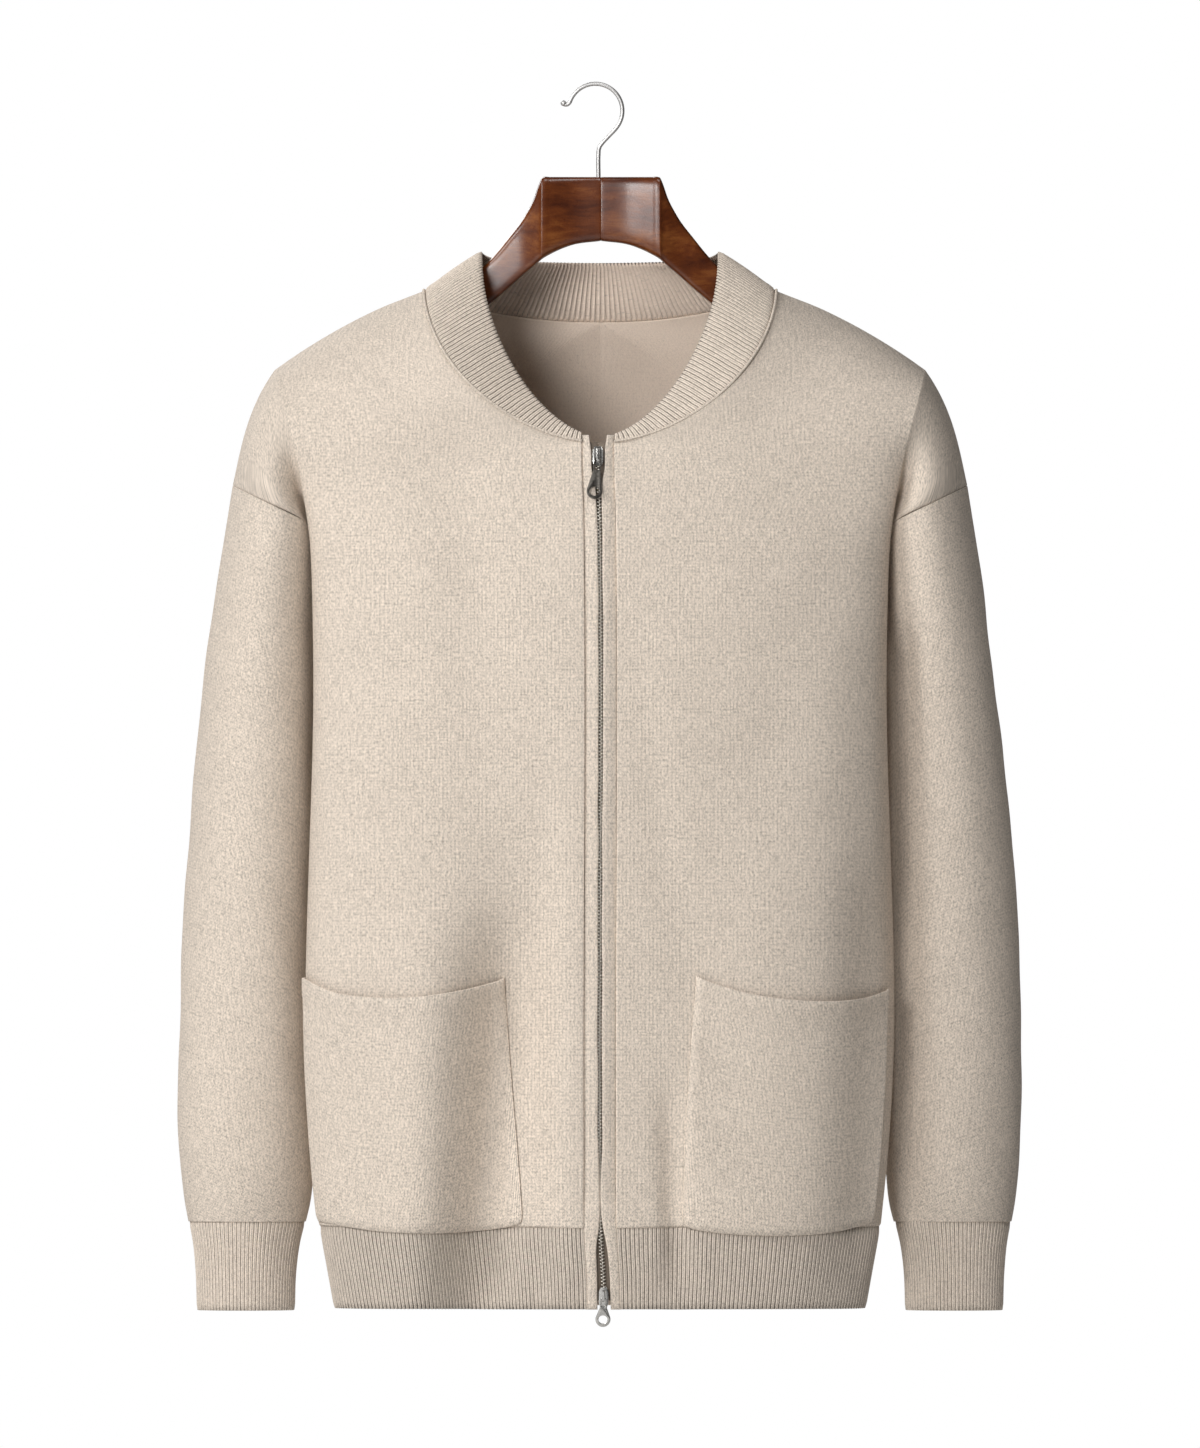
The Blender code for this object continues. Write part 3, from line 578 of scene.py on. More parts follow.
    def front(self, side: Side, low: Array, share: Array, across: Array, around: Array) -> Array:
        """A whole front panel as a grid from the hem up, on +X.

        Args:
            side: The panel's side.
            low: Heights of the rows below the underarm.
            share: Shares of the rows above it.
            across: Shares from the band to the widest place.
            around: Shares from there to the side or armhole seam.

        Returns:
            The panel's outside.
        """
        start = self.front_start(side, share)
        above = self.upper(start, FRONT_EDGE, share, -1, across, around)
        return np.concatenate((self.lower_front(side, low, across, around), above))

    def back(self, low: Array, share: Array, across: Array, around: Array) -> Array:
        """Half of the back as a grid from the hem up, on +X.

        Args:
            low: Heights of the rows below the underarm.
            share: Shares of the rows above it.
            across: Shares from the middle to the edge.
            around: Shares from there to the side or armhole seam.

        Returns:
            The panel's outside.
        """
        above = self.upper(self.back_start(share), BACK_EDGE, share, 1, across, around)
        return np.concatenate((self.lower_back(low, across, around), above))

    def sleeve(self, down: Array, turn: Array) -> Array:
        """A sleeve as rings from the armhole seam to the cuff.

        Args:
            down: Shares of the way down.
            turn: Turns about the sleeve's middle, from 0 to 2 pi.

        Returns:
            The sleeve's outside, on +X, with its first column repeated at the end.
        """
        way, bend = halves(turn)
        top = self.armhole(bend, way)[:, 2]
        z = top + (self.cuff_top - top) * down[:, None]
        return self.sleeve_point(z, bend, way)

    def cuff(self, z: Array, turn: Array) -> Array:
        """A cuff as level rings.

        Args:
            z: Heights of the rings.
            turn: Turns about the sleeve's middle, from 0 to 2 pi.

        Returns:
            The cuff's outside, on +X.
        """
        way, bend = halves(turn)
        return self.sleeve_point(z[:, None], bend, way)

    def collar_front(self, side: Side, q: Array) -> tuple[Array, Array]:
        """Seam edge and free edge of the neckband in front, from the zip (0) to the shoulder (1).

        Args:
            side: The side of the zip.
            q: Shares of the way.

        Returns:
            Two lines of points on +X.
        """
        bow, half, top = self.collar_bow, self.collar_half, self.collar_top
        first = np.arcsin((self.band_edge(side, self.band_top) / half) ** (bow / 2))
        c = power(np.cos(first + (math.pi / 2 - first) * q), 1.0)
        x = half * power(1 - c * c, 1 / bow)
        free = stack(x, self.ridge_y - 87 * c**0.6, top - 119.5 * c ** (2 / bow))
        return self.neck_front(side, q), free

    def collar_back(self, q: Array) -> tuple[Array, Array]:
        """Seam edge and free edge of the neckband behind, from the middle (0) to the shoulder.

        Args:
            q: Shares of the way.

        Returns:
            Two lines of points on +X.
        """
        turn = math.pi / 2 * q
        c = power(np.cos(turn), 1.0)
        free = stack(self.collar_half * np.sin(turn), self.ridge_y + 52 * c, self.collar_top - 4.5 * c)
        return self.neck_back(q), free

    def press(self, points: Array) -> Array:
        """Presses the soft folds and the cloth's slight unevenness into points. Each fold is a
        Gaussian trough along a line, and everything moves along Y, so pieces that meet stay
        together. The zip's neighbourhood and the side seams stay where they are.

        Args:
            points: Points of the garment's outside.

        Returns:
            The moved points.
        """
        x, y, z = points[..., 0], points[..., 1], points[..., 2]
        out = points.copy()
        quiet = ramp(np.abs(x), 14, 44)
        for x0, z0, x1, z1, wide, deep, way in FOLDS:
            run = np.array((x1 - x0, z1 - z0))
            long = np.hypot(*run)
            along = ((x - x0) * run[0] + (z - z0) * run[1]) / long**2
            off = ((x - x0) * run[1] - (z - z0) * run[0]) / long
            ends = np.exp(-((np.maximum(np.abs(along - 0.5) - 0.5, 0) * long / (3.2 * wide)) ** 2))
            fold = deep * way * np.exp(-((off / wide) ** 2)) * ends
            out[..., 1] += fold * ramp(-way * y, 0, 40) * (quiet if way > 0 else 1.0)
        flat = np.stack((x, y * 0.5, z), axis=-1)
        ease = quiet * ramp(z, -800, -700)
        out[..., 1] += 0.9 * ease * wobble(flat, 120, 3) + 0.35 * ease * wobble(flat, 46, 4)
        return out


# ---- meshes -------------------------------------------------------------------------------


def normals(grid: Array, closed: bool = False) -> Array:
    """Unit normals of a grid, from the cross product of its two differences.

    Args:
        grid: Rows and columns of points.
        closed: Whether the last column repeats the first.

    Returns:
        One normal for each point.
    """
    if closed:
        ring = grid[:, :-1]
        along = np.roll(ring, -1, axis=1) - np.roll(ring, 1, axis=1)
        along = np.concatenate((along, along[:, :1]), axis=1)
    else:
        along = np.gradient(grid, axis=1)
    n = np.cross(along, np.gradient(grid, axis=0))
    return n / np.maximum(np.linalg.norm(n, axis=2, keepdims=True), 1e-9)


def quads(rows: int, cols: int, shift: int = 0, turned: bool = False) -> Array:
    """The faces of a grid of points that are numbered row by row.

    Args:
        rows: Rows of points.
        cols: Columns of points.
        shift: Number of the first point.
        turned: Whether the faces look the other way.

    Returns:
        Four point numbers for each face.
    """
    a = (np.arange(rows - 1)[:, None] * cols + np.arange(cols - 1)).ravel() + shift
    face = np.stack((a, a + 1, a + cols + 1, a + cols), axis=1)
    return face[:, ::-1] if turned else face


def merge(points: Array, faces: Array) -> tuple[Array, Array]:
    """Merges points that lie within a ten-thousandth of a millimetre.

    Args:
        points: Points in millimetres.
        faces: Point numbers of each face.

    Returns:
        The merged points, and the faces with their new numbers.
    """
    grid = np.round(points * 1e4).astype(np.int64)
    _, first, number = np.unique(grid, axis=0, return_index=True, return_inverse=True)
    return points[first], number.reshape(-1)[faces]


def make_mesh(name: str, points: Array, faces: Array, uv: Array | None = None) -> bpy.types.Object:
    """Puts a shape into a mesh of its own, in metres, and links the piece to the scene. A face
    with two equal corners becomes a triangle, and one with more is left out.

    Args:
        name: The piece's name.
        points: Points in millimetres.
        faces: Point numbers, the same number of corners for each face.
        uv: A UV in metres for each corner.

    Returns:
        The new piece, at the origin.
    """
    same = faces == np.roll(faces, -1, axis=1)
    whole = same.sum(axis=1) < 2
    keep = ~same[whole]
    sides = keep.sum(axis=1)
    mesh = bpy.data.meshes.new(name)
    mesh.vertices.add(len(points))
    mesh.vertices.foreach_set("co", (points * MM).astype(np.float32).ravel())
    mesh.loops.add(int(sides.sum()))
    mesh.loops.foreach_set("vertex_index", faces[whole][keep].astype(np.int32))
    mesh.polygons.add(len(sides))
    mesh.polygons.foreach_set("loop_start", (np.cumsum(sides) - sides).astype(np.int32))
    mesh.polygons.foreach_set("use_smooth", np.ones(len(sides), bool))
    if uv is not None:
        layer = mesh.uv_layers.new(name="cut")
        layer.data.foreach_set("uv", uv[whole][keep].astype(np.float32).ravel())
    mesh.update(calc_edges=True)
    mesh.validate()
    piece = bpy.data.objects.new(name, mesh)
    bpy.context.scene.collection.objects.link(piece)
    return piece


def facing_out(points: Array, faces: Array, uv: Array | None) -> tuple[Array, Array | None]:
    """Turns all faces of a closed shape round if its signed volume is negative.

    Args:
        points: Points of the shape.
        faces: Its faces.
        uv: One UV for each corner.

    Returns:
        The faces and the UVs.
    """
    volume = 0.0
    for k in range(1, faces.shape[1] - 1):
        a, b, c = points[faces[:, 0]], points[faces[:, k]], points[faces[:, k + 1]]
        volume += np.einsum("ij,ij->", a, np.cross(b, c))
    if volume < 0:
        return faces[:, ::-1], None if uv is None else uv[:, ::-1]
    return faces, uv


@dataclass
class Cloth:
    """A grid of cloth that becomes a closed wall with rounded rims."""

    grid: Array
    uv: Array
    thick: float = 2.4
    rims: tuple = (0.9, 0.9, 0.9, 0.9)
    closed: bool = False
    open_rows: int = 0
    inward: int = 1

    def fullness(self) -> Array:
        """The wall's share of its full thickness: a quarter circle from each rim inwards."""
        down, across = run_of(self.grid, 0), run_of(self.grid, 1)
        full = np.ones(self.grid.shape[:2])
        away = (down, down[-1:] - down, across, across[:, -1:] - across)
        for k, (reach, far) in enumerate(zip(self.rims, away)):
            if reach <= 0 or (self.closed and k > 1):
                continue
            q = np.clip(far / reach, 0, 1)
            arc = np.sqrt(np.maximum(1 - (1 - q) ** 2, 0.0))
            if k == 2 and self.open_rows:
                arc[: self.open_rows] = 1.0
            full = np.minimum(full, arc)
        return full

    def wall(self) -> tuple[Array, Array, Array]:
        """Both faces of the wall. Each lies half the wall's thickness, times its fullness, from
        the middle, so they meet at the rims.

        Returns:
            Points, faces and a UV for each corner.
        """
        n = normals(self.grid, self.closed) * self.inward
        if self.open_rows:
            rise = np.gradient(self.grid[:, 0], axis=0)[: self.open_rows + 1] * (0, 1, 1)
            flat = np.cross(rise, (1.0, 0.0, 0.0))
            flat *= np.sign(np.sum(flat * n[: len(flat), 0], axis=1, keepdims=True))
            n[: len(flat), 0] = flat / np.linalg.norm(flat, axis=1, keepdims=True)
        middle = self.grid + n * self.thick / 2
        half = n * (self.thick / 2 * self.fullness())[..., None]
        rows, cols = self.grid.shape[:2]
        points = np.concatenate(((middle - half).reshape(-1, 3), (middle + half).reshape(-1, 3)))
        faces = np.concatenate((quads(rows, cols), quads(rows, cols, rows * cols, True)))
        if self.inward > 0:
            faces = faces[:, ::-1]
        uv = np.concatenate((self.uv.reshape(-1, 2), self.uv.reshape(-1, 2)))
        return points, faces, uv[faces] * MM


def cut_lines(grid: Array, offset: Level = 0.0) -> Array:
    """UVs in millimetres: u is the length along each row plus an offset, v the length up each
    column.

    Args:
        grid: Rows and columns of points.
        offset: What u starts from in each row.

    Returns:
        A UV for each point.
    """
    return np.stack((run_of(grid, 1) + np.reshape(offset, (-1, 1)), run_of(grid, 0)), axis=-1)


@dataclass(frozen=True)
class Ribbing:
    """Relief of a one-by-one rib: broad rounded ridges with narrow grooves between them."""

    pitch: float = 2.7
    deep: float = 0.75
    columns: tuple = (0.0, 0.07, 0.18, 0.34, 0.5, 0.66, 0.82, 0.93)

    def phases(self, count: int) -> Array:
        """Columns of a number of ribs, counted in ribs from the first groove to the last."""
        cells = np.arange(count)[:, None] + np.array(self.columns)
        return np.append(cells.ravel(), count)

    def relief(self, phase: Array) -> Array:
        """Height above the groove: (1 - |2f - 1|^3.4)^0.7 of the depth, f being the place in the
        rib."""
        f = phase - np.floor(phase)
        return self.deep * power(1 - np.abs(2 * f - 1) ** 3.4, 0.7)

    def raise_on(self, grid: Array, phase: Array, inward: int, fade: Array, closed: bool) -> Array:
        """Lifts a grid into ribs that run along its columns.

        Args:
            grid: Rows and columns of points.
            phase: The rib count of each column.
            inward: The sign that turns the grid's normals into the cloth.
            fade: Share of the relief in each row.
            closed: Whether the last column repeats the first.

        Returns:
            The ribbed grid, whose ridges reach the plain grid.
        """
        n = normals(grid, closed) * inward
        sunk = (self.deep - self.relief(phase)) * np.reshape(fade, (-1, 1))
        return grid + n * sunk[..., None]


# ---- finishes -----------------------------------------------------------------------------


class Term:
    """A number that a socket gives, with arithmetic that adds Math nodes."""

    def __init__(self, graph: "Graph", socket: bpy.types.NodeSocket) -> None:
        """Keeps the socket and the graph that it is in."""
        self.graph = graph
        self.socket = socket

    def __add__(self, other: "Term | float") -> "Term":
        """The sum."""
        return self.graph.math("ADD", self, other)

    __radd__ = __add__

    def __sub__(self, other: "Term | float") -> "Term":
        """The difference."""
        return self.graph.math("SUBTRACT", self, other)

    def __rsub__(self, other: "Term | float") -> "Term":
        """A number less this one."""
        return self.graph.math("SUBTRACT", other, self)

    def __mul__(self, other: "Term | float") -> "Term":
        """The product."""
        return self.graph.math("MULTIPLY", self, other)

    __rmul__ = __mul__

    def __truediv__(self, other: "Term | float") -> "Term":
        """The quotient."""
        return self.graph.math("DIVIDE", self, other)

    def __pow__(self, other: float) -> "Term":
        """A power of this number."""
        return self.graph.math("POWER", self, other)

    def __abs__(self) -> "Term":
        """The distance from 0."""
        return self.graph.math("ABSOLUTE", self)

    def fract(self) -> "Term":
        """What is left over a whole number."""
        return self.graph.math("FRACT", self)

    def between(self, low: float, high: float) -> "Term":
        """Goes from 0 at low to 1 at high, and stays there."""
        settings = {"interpolation_type": "SMOOTHSTEP"}
        inputs = {"Value": self, "From Min": low, "From Max": high}
        return Term(self.graph, self.graph.node("ShaderNodeMapRange", settings, inputs).outputs[0])


class Graph:
    """The nodes of one material, ending in a Principled shader."""

    def __init__(self, name: str) -> None:
        """Starts a material with its shader and its output."""
        self.material = bpy.data.materials.new(name)
        self.material.use_nodes = True
        self.tree = self.material.node_tree
        self.shader = self.tree.nodes["Principled BSDF"]

    def node(self, kind: str, settings: dict | None = None,
             inputs: dict | None = None) -> bpy.types.Node:
        """Makes any node: its settings first, then the values or links of its sockets.

        Args:
            kind: The node's type.
            settings: Properties to set. "stops" holds a colour ramp's places and colours.
            inputs: Socket names or numbers, with a number, a colour, a Term or a socket each.

        Returns:
            The node.
        """
        made = self.tree.nodes.new(kind)
        for key, value in (settings or {}).items():
            if key == "stops":
                while len(made.color_ramp.elements) < len(value):
                    made.color_ramp.elements.new(0.5)
                for stop, (place, colour) in zip(made.color_ramp.elements, value):
                    stop.position, stop.color = place, (*colour, 1.0)
            else:
                setattr(made, key, value)
        for key, value in (inputs or {}).items():
            self.feed(made.inputs[key], value)
        return made

    def feed(self, socket: bpy.types.NodeSocket, value: object) -> None:
        """Links a Term or an output to a socket, or sets the socket's own value."""
        if isinstance(value, Term):
            value = value.socket
        if isinstance(value, bpy.types.NodeSocket):
            self.tree.links.new(value, socket)
        elif isinstance(value, tuple) and len(value) == 3 and socket.type == "RGBA":
            socket.default_value = (*value, 1.0)
        else:
            socket.default_value = value

    def math(self, operation: str, *values: "Term | float") -> Term:
        """Adds one Math node."""
        made = self.node("ShaderNodeMath", {"operation": operation}, dict(enumerate(values)))
        return Term(self, made.outputs[0])

    def blend(self, factor: "Term | float", low: object, high: object) -> bpy.types.NodeSocket:
        """Mixes two colours: a factor of 0 gives the first, and 1 the second."""
        settings = {"data_type": "RGBA", "blend_type": "MIX"}
        return self.node("ShaderNodeMix", settings, {0: factor, 6: low, 7: high}).outputs[2]

    def point(self, x: "Term | float", y: "Term | float", z: "Term | float" = 0.0) -> object:
        """Joins three numbers into a vector."""
        return self.node("ShaderNodeCombineXYZ", None, {0: x, 1: y, 2: z}).outputs[0]

    def cut(self) -> tuple[Term, Term]:
        """The cloth's own UVs in millimetres: across the wales and along them."""
        uv = self.node("ShaderNodeUVMap", {"uv_map": "cut"}).outputs[0]
        parts = self.node("ShaderNodeSeparateXYZ", None, {0: uv})
        return Term(self, parts.outputs[0]) / MM, Term(self, parts.outputs[1]) / MM

    def place(self) -> tuple[Term, Term, Term]:
        """The point in the object's own coordinates, in millimetres."""
        where = self.node("ShaderNodeTexCoord").outputs["Object"]
        parts = self.node("ShaderNodeSeparateXYZ", None, {0: where})
        return tuple(Term(self, out) / MM for out in parts.outputs)

    def noise(self, where: object, scale: float, detail: float = 2.0, rough: float = 0.5) -> Term:
        """Fractal noise of about 0.3 to 0.7.

        Args:
            where: The vector that it is read at.
            scale: Cells for each unit of the vector.
            detail: Number of finer layers.
            rough: Strength of each finer layer.

        Returns:
            The noise.
        """
        inputs = {"Vector": where, "Scale": scale, "Detail": detail, "Roughness": rough}
        return Term(self, self.node("ShaderNodeTexNoise", None, inputs).outputs[0])

    def bump(self, height: Term, reach: float, strength: float = 1.0) -> None:
        """Feeds a height of 0 to 1, worth reach in metres, to the shader's Normal."""
        inputs = {"Height": height, "Distance": reach, "Strength": strength}
        made = self.node("ShaderNodeBump", None, inputs)
        self.feed(self.shader.inputs["Normal"], made.outputs[0])

    def set(self, **values: object) -> None:
        """Feeds the shader's sockets. An underscore in a name stands for a space."""
        for key, value in values.items():
            self.feed(self.shader.inputs[key.replace("_", " ")], value)


def times(colour: Sequence[float], factor: float) -> tuple:
    """A colour made lighter or darker."""
    return tuple(min(1.0, c * factor) for c in colour)


@dataclass(frozen=True)
class KnitFinish:
    """Melange yarn knitted in plain stitches: V-shaped legs, pale and dark fibres, soft nap."""

    name: str
    colour: tuple = (0.60, 0.520, 0.440)
    wale: float = 1.8
    course: float = 1.9
    deep: float = 0.32
    fleck: float = 0.47
    ribbed: bool = False
    # Strength of a rib's painted groove shade.
    furrow: float = 0.62
    sheen: float = 0.04
    # Paler colour of the back's inner face: painted light.
    inside: tuple = (0.93, 0.76, 0.63)

    def material(self) -> bpy.types.Material:
        """Builds the finish. A stitch is two leaning legs in each wale; the yarn's lighter and
        darker lengths run along the courses, and single fibres stand out pale and dark. The
        gaps between the legs, and a rib's grooves, are darkened as painted shade. The back's
        inner face, which faces forwards and lies in shade, is painted paler: painted light.

        Returns:
            The material.
        """
        g = Graph(self.name)
        u, v = g.cut()
        drift = g.noise(g.point(u, v), 0.22, 1.0) - 0.5
        across = (u + drift * 0.5) / self.wale
        legs = abs(across.fract() - 0.5)
        rise = (v / self.course + drift * 1.2 + legs * 1.7).fract()
        plump = 1 - ((legs - 0.25) * 4) ** 2
        row = 1 - abs(rise * 2 - 1) ** 2.5
        stitch = plump * (row * 0.55 + 0.45)
        fibre = g.noise(g.point(u * 0.95, v * 0.50), 1.0, 2.0, 0.75)
        marl = g.noise(g.point(u * 0.24, v * 0.60, 5.0), 1.0, 2.0, 0.6)
        streak = g.noise(g.point(u * 0.55, v * 0.10), 1.0, 1.0)
        cloud = g.noise(g.point(u, v), 0.03, 1.0)
        x, y, z = g.place()
        # Mask of the back's inner face, which faces forwards: it takes a paler colour as painted light,
        # and a rib's painted groove shade there is moved by half a rib and weakened.
        facing = g.node("ShaderNodeSeparateXYZ", None, {0: g.node("ShaderNodeNewGeometry").outputs[1]})
        inner = (Term(g, facing.outputs[1]) * -1).between(0.05, 0.5) * y.between(10, 28)
        inner = inner * (1 - abs(x).between(125, 150))
        # The stitch term darkens the gaps between the legs: painted shade in the knit's hollows. The
        # fibre, marl, streak and cloud terms are the yarn's own colour.
        tone = (fibre - 0.5) * 2.2 + (marl - 0.5) * 0.4 + (streak - 0.5) * 0.6
        tone = tone + (cloud - 0.5) * 0.12 + (stitch - 0.5) * 1.05 + 0.5
        # The paler colour on the back's inner face is painted light.
        low, high = (
            g.blend(inner, times(self.colour, 1 + way * self.fleck), times(self.inside, 1 + way * 0.1))
            for way in (-1, 1)
        )
        colour = g.blend(tone.between(-0.1, 1.1), low, high)
        pale = g.noise(g.point(u * 0.8, v * 0.6, 7.0), 1.0, 2.0, 0.7).between(0.58, 0.72)
        colour = g.blend(pale * 0.5, colour, times(self.colour, 1.5))
        dark = g.noise(g.point(u * 1.0, v * 0.6, 3.0), 1.0, 2.0, 0.7).between(0.58, 0.72)
        colour = g.blend(dark * 0.3, colour, times(self.colour, 0.45))
        height = stitch * 0.75
        if self.ribbed:
            # Painted shade: each rib's groove is darkened towards 0.18 of the colour, by an uneven
            # amount, and less on the back's inner face.
            uneven = g.noise(g.point(u * 0.11, v * 0.03, 9.0), 1.0, 1.0).between(0.30, 0.62)
            groove = abs((u / self.wale + inner * 0.5).fract() * 2 - 1) ** 6
            furrow = groove * (uneven * 0.38 + self.furrow) * (1 - inner * 0.3)
            colour = g.blend(furrow, colour, times(self.colour, 0.18))
            height = height - groove * 0.6
        nap = g.noise(g.point(x, y, z), 2.4, 3.0, 0.7)
        g.set(Base_Color=colour, Roughness=(fibre * 0.1 + 0.86))
        g.set(Sheen_Weight=self.sheen, Sheen_Roughness=0.45, Sheen_Tint=(1.0, 0.96, 0.91))
        g.set(Specular_IOR_Level=0.2)
        g.bump(height + nap * 0.5, self.deep * MM, 0.8)
        return g.material


@dataclass(frozen=True)
class TapeFinish:
    """Woven polyester tape: a fine plain weave, slightly glossy."""

    colour: tuple = (0.16, 0.125, 0.095)

    def material(self) -> bpy.types.Material:
        """Builds the finish."""
        g = Graph("zip tape weave")
        u, v = g.cut()
        weave = abs((u / 0.5).fract() - 0.5) + abs((v / 0.6).fract() - 0.5)
        # The colour follows the weave's relief, darker in its hollows: painted shade over a random tone.
        tone = g.noise(g.point(u, v), 0.8, 2.0) * 0.6 + weave * 0.4
        g.set(Base_Color=g.blend(tone, times(self.colour, 0.7), times(self.colour, 1.5)))
        g.set(Roughness=weave * 0.2 + 0.55)
        g.bump(weave, 0.12 * MM)
        return g.material


@dataclass(frozen=True)
class MetalFinish:
    """Plated metal with faint drawing lines and small dulled patches."""

    name: str
    colour: tuple
    rough: float = 0.25
    worn: float = 0.3
    patches: float = 0.9
    drawn: float = 0.5

    def material(self) -> bpy.types.Material:
        """Builds the finish."""
        g = Graph(self.name)
        x, y, z = g.place()
        patch = g.noise(g.point(x, y, z), self.patches, 3.0, 0.6)
        lines = g.noise(g.point(x * 6, y * 6, z * 0.6), 1.0, 2.0)
        tone = (patch * 0.7 + lines * 0.3).between(0.3, 0.72)
        colour = g.blend(tone, times(self.colour, 1 - self.worn), times(self.colour, 1 + self.worn))
        g.set(Base_Color=colour, Metallic=1.0, Roughness=patch * 0.16 + (self.rough - 0.08))
        if self.drawn:
            g.bump(lines, 0.02 * MM, self.drawn)
        return g.material


@dataclass(frozen=True)
class WoodFinish:
    """Stained hardwood under clear lacquer. The grain runs along the hanger's arms."""

    dark: tuple = (0.040, 0.0068, 0.0016)
    mid: tuple = (0.115, 0.0275, 0.0055)
    light: tuple = (0.235, 0.077, 0.0180)

    def material(self) -> bpy.types.Material:
        """Builds the finish."""
        g = Graph("lacquered mahogany")
        x, y, z = g.place()
        sway = g.noise(g.point(x * 0.02, y * 0.05, z * 0.05), 1.0, 2.0) - 0.5
        grain = g.noise(g.point(x * 0.05, y * 0.5 + sway * 6, z * 0.5 + sway * 6), 1.0, 3.0, 0.55)
        pores = g.noise(g.point(x * 0.5, y * 2.6, z * 2.6), 1.0, 2.0, 0.6)
        broad = g.noise(g.point(x * 0.022, y * 0.06, z * 0.06), 1.0, 2.0)
        speck = g.noise(g.point(x, y, z), 1.5, 2.0, 0.6)
        tone = (grain * 0.30 + broad * 0.62 + speck * 0.14 - 0.03).between(0.26, 0.78)
        ramp_node = g.node(
            "ShaderNodeValToRGB",
            {"stops": [(0.0, self.dark), (0.5, self.mid), (1.0, self.light)]},
            {0: tone},
        )
        specks = pores.between(0.58, 0.72)
        g.set(Base_Color=g.blend(specks * 0.4, ramp_node.outputs[0], self.dark))
        g.set(Roughness=speck * 0.18 + 0.22, Coat_Weight=0.15, Coat_Roughness=0.12)
        g.bump(grain * 0.3 + pores * 0.3 + speck * 0.8, 0.05 * MM, 0.7)
        return g.material


@dataclass(frozen=True)
class StageFinish:
    """Pale matt paper for the floor."""

    colour: tuple = (0.78, 0.78, 0.775)

    def material(self) -> bpy.types.Material:
        """Builds the finish."""
        g = Graph("pale floor")
        x, y, z = g.place()
        tone = g.noise(g.point(x, y, z), 0.004, 2.0)
        g.set(Base_Color=g.blend(tone, times(self.colour, 0.985), times(self.colour, 1.01)))
        g.set(Roughness=0.9)
        return g.material


# ---- making and handing over pieces -------------------------------------------------------


@dataclass(frozen=True)
class Finishes:
    """The finished materials, made once."""

    knit: bpy.types.Material
    rib: bpy.types.Material
    # Hem rib in a darker colour: painted shade.
    edge_rib: bpy.types.Material
    cuff_rib: bpy.types.Material
    tape: bpy.types.Material
    dark_metal: bpy.types.Material
    bright_metal: bpy.types.Material
    teeth: bpy.types.Material
    wood: bpy.types.Material
    steel: bpy.types.Material

    @classmethod
    def make(cls) -> "Finishes":
        """Builds all of them."""
        ribs = {"wale": Ribbing.pitch, "course": 1.25, "fleck": 0.36, "ribbed": True}
        # shaded darkens the hem rib's colour: painted shade on a rib that faces down out of the light.
        # soft lowers the cuffs' painted groove shade.
        shaded, soft = {"colour": (0.515, 0.447, 0.380)}, {"fleck": 0.34, "furrow": 0.06}
        return cls(
            knit=KnitFinish("oatmeal melange knit").material(),
            rib=KnitFinish("oatmeal melange rib", **ribs).material(),
            edge_rib=KnitFinish("oatmeal melange edge rib", **(ribs | shaded)).material(),
            cuff_rib=KnitFinish("oatmeal melange cuff rib", **(ribs | soft)).material(),
            tape=TapeFinish().material(),
            dark_metal=MetalFinish("gunmetal", (0.10, 0.092, 0.082), 0.34, 0.4).material(),
            bright_metal=MetalFinish("nickel", (0.56, 0.545, 0.52), 0.22, 0.2).material(),
            teeth=MetalFinish("zip teeth", (0.60, 0.56, 0.50), 0.32, 0.3).material(),
            wood=WoodFinish().material(),
            steel=MetalFinish(
                "polished steel", (0.60, 0.59, 0.58), 0.50, 0.06, patches=0.12, drawn=0.0
            ).material(),
        )


def hand_over(piece: bpy.types.Object, finish: bpy.types.Material, slot: Slot, *nodes: str,
              body: str = "garment") -> bpy.types.Object:
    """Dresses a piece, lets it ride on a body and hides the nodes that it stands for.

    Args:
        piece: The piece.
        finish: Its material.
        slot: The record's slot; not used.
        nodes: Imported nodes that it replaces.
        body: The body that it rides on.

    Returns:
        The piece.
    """
    piece.data.materials.append(finish)
    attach(piece, body)
    if nodes:
        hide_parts(*nodes)
    LOG.info("%s: %d faces on %s", piece.name, len(piece.data.polygons), body)
    return piece


def sew(name: str, *walls: Cloth) -> bpy.types.Object:
    """Makes one piece from one or more walls that share an edge.

    Args:
        name: The piece's name.
        walls: The walls.

    Returns:
        The piece.
    """
    points, faces, uv, count = [], [], [], 0
    for cloth in walls:
        p, f, t = cloth.wall()
        points.append(p)
        faces.append(f + count)
        uv.append(t)
        count += len(p)
    points, faces = merge(np.concatenate(points), np.concatenate(faces))
    whole = np.all(faces != np.roll(faces, -1, axis=1), axis=1)
    return make_mesh(name, points, faces[whole], np.concatenate(uv)[whole])


def sweep(name: str, rings: Array, uv: Array | None = None) -> bpy.types.Object:
    """A closed solid through rings of points, with a fan of faces at each end.

    Args:
        name: The piece's name.
        rings: Rings with the same number of points, end to end.
        uv: A UV in millimetres for each point of the rings.

    Returns:
        The piece.
    """
    count, sides = rings.shape[:2]
    closed = np.concatenate((rings, rings[:, :1]), axis=1)
    first = np.repeat(rings[:1].mean(axis=1, keepdims=True), sides + 1, axis=1)
    last = np.repeat(rings[-1:].mean(axis=1, keepdims=True), sides + 1, axis=1)
    grid = np.concatenate((first, closed, last))
    if uv is None:
        uv = np.stack((run_of(closed, 1), run_of(closed, 0)), axis=-1)
    uv = np.concatenate((uv[:1], uv, uv[-1:]))
    numbers = quads(count + 2, sides + 1)
    corners = uv.reshape(-1, 2)[numbers] * MM
    points, faces = merge(grid.reshape(-1, 3), numbers)
    faces, corners = facing_out(points, faces, corners)
    return make_mesh(name, points, faces, corners)


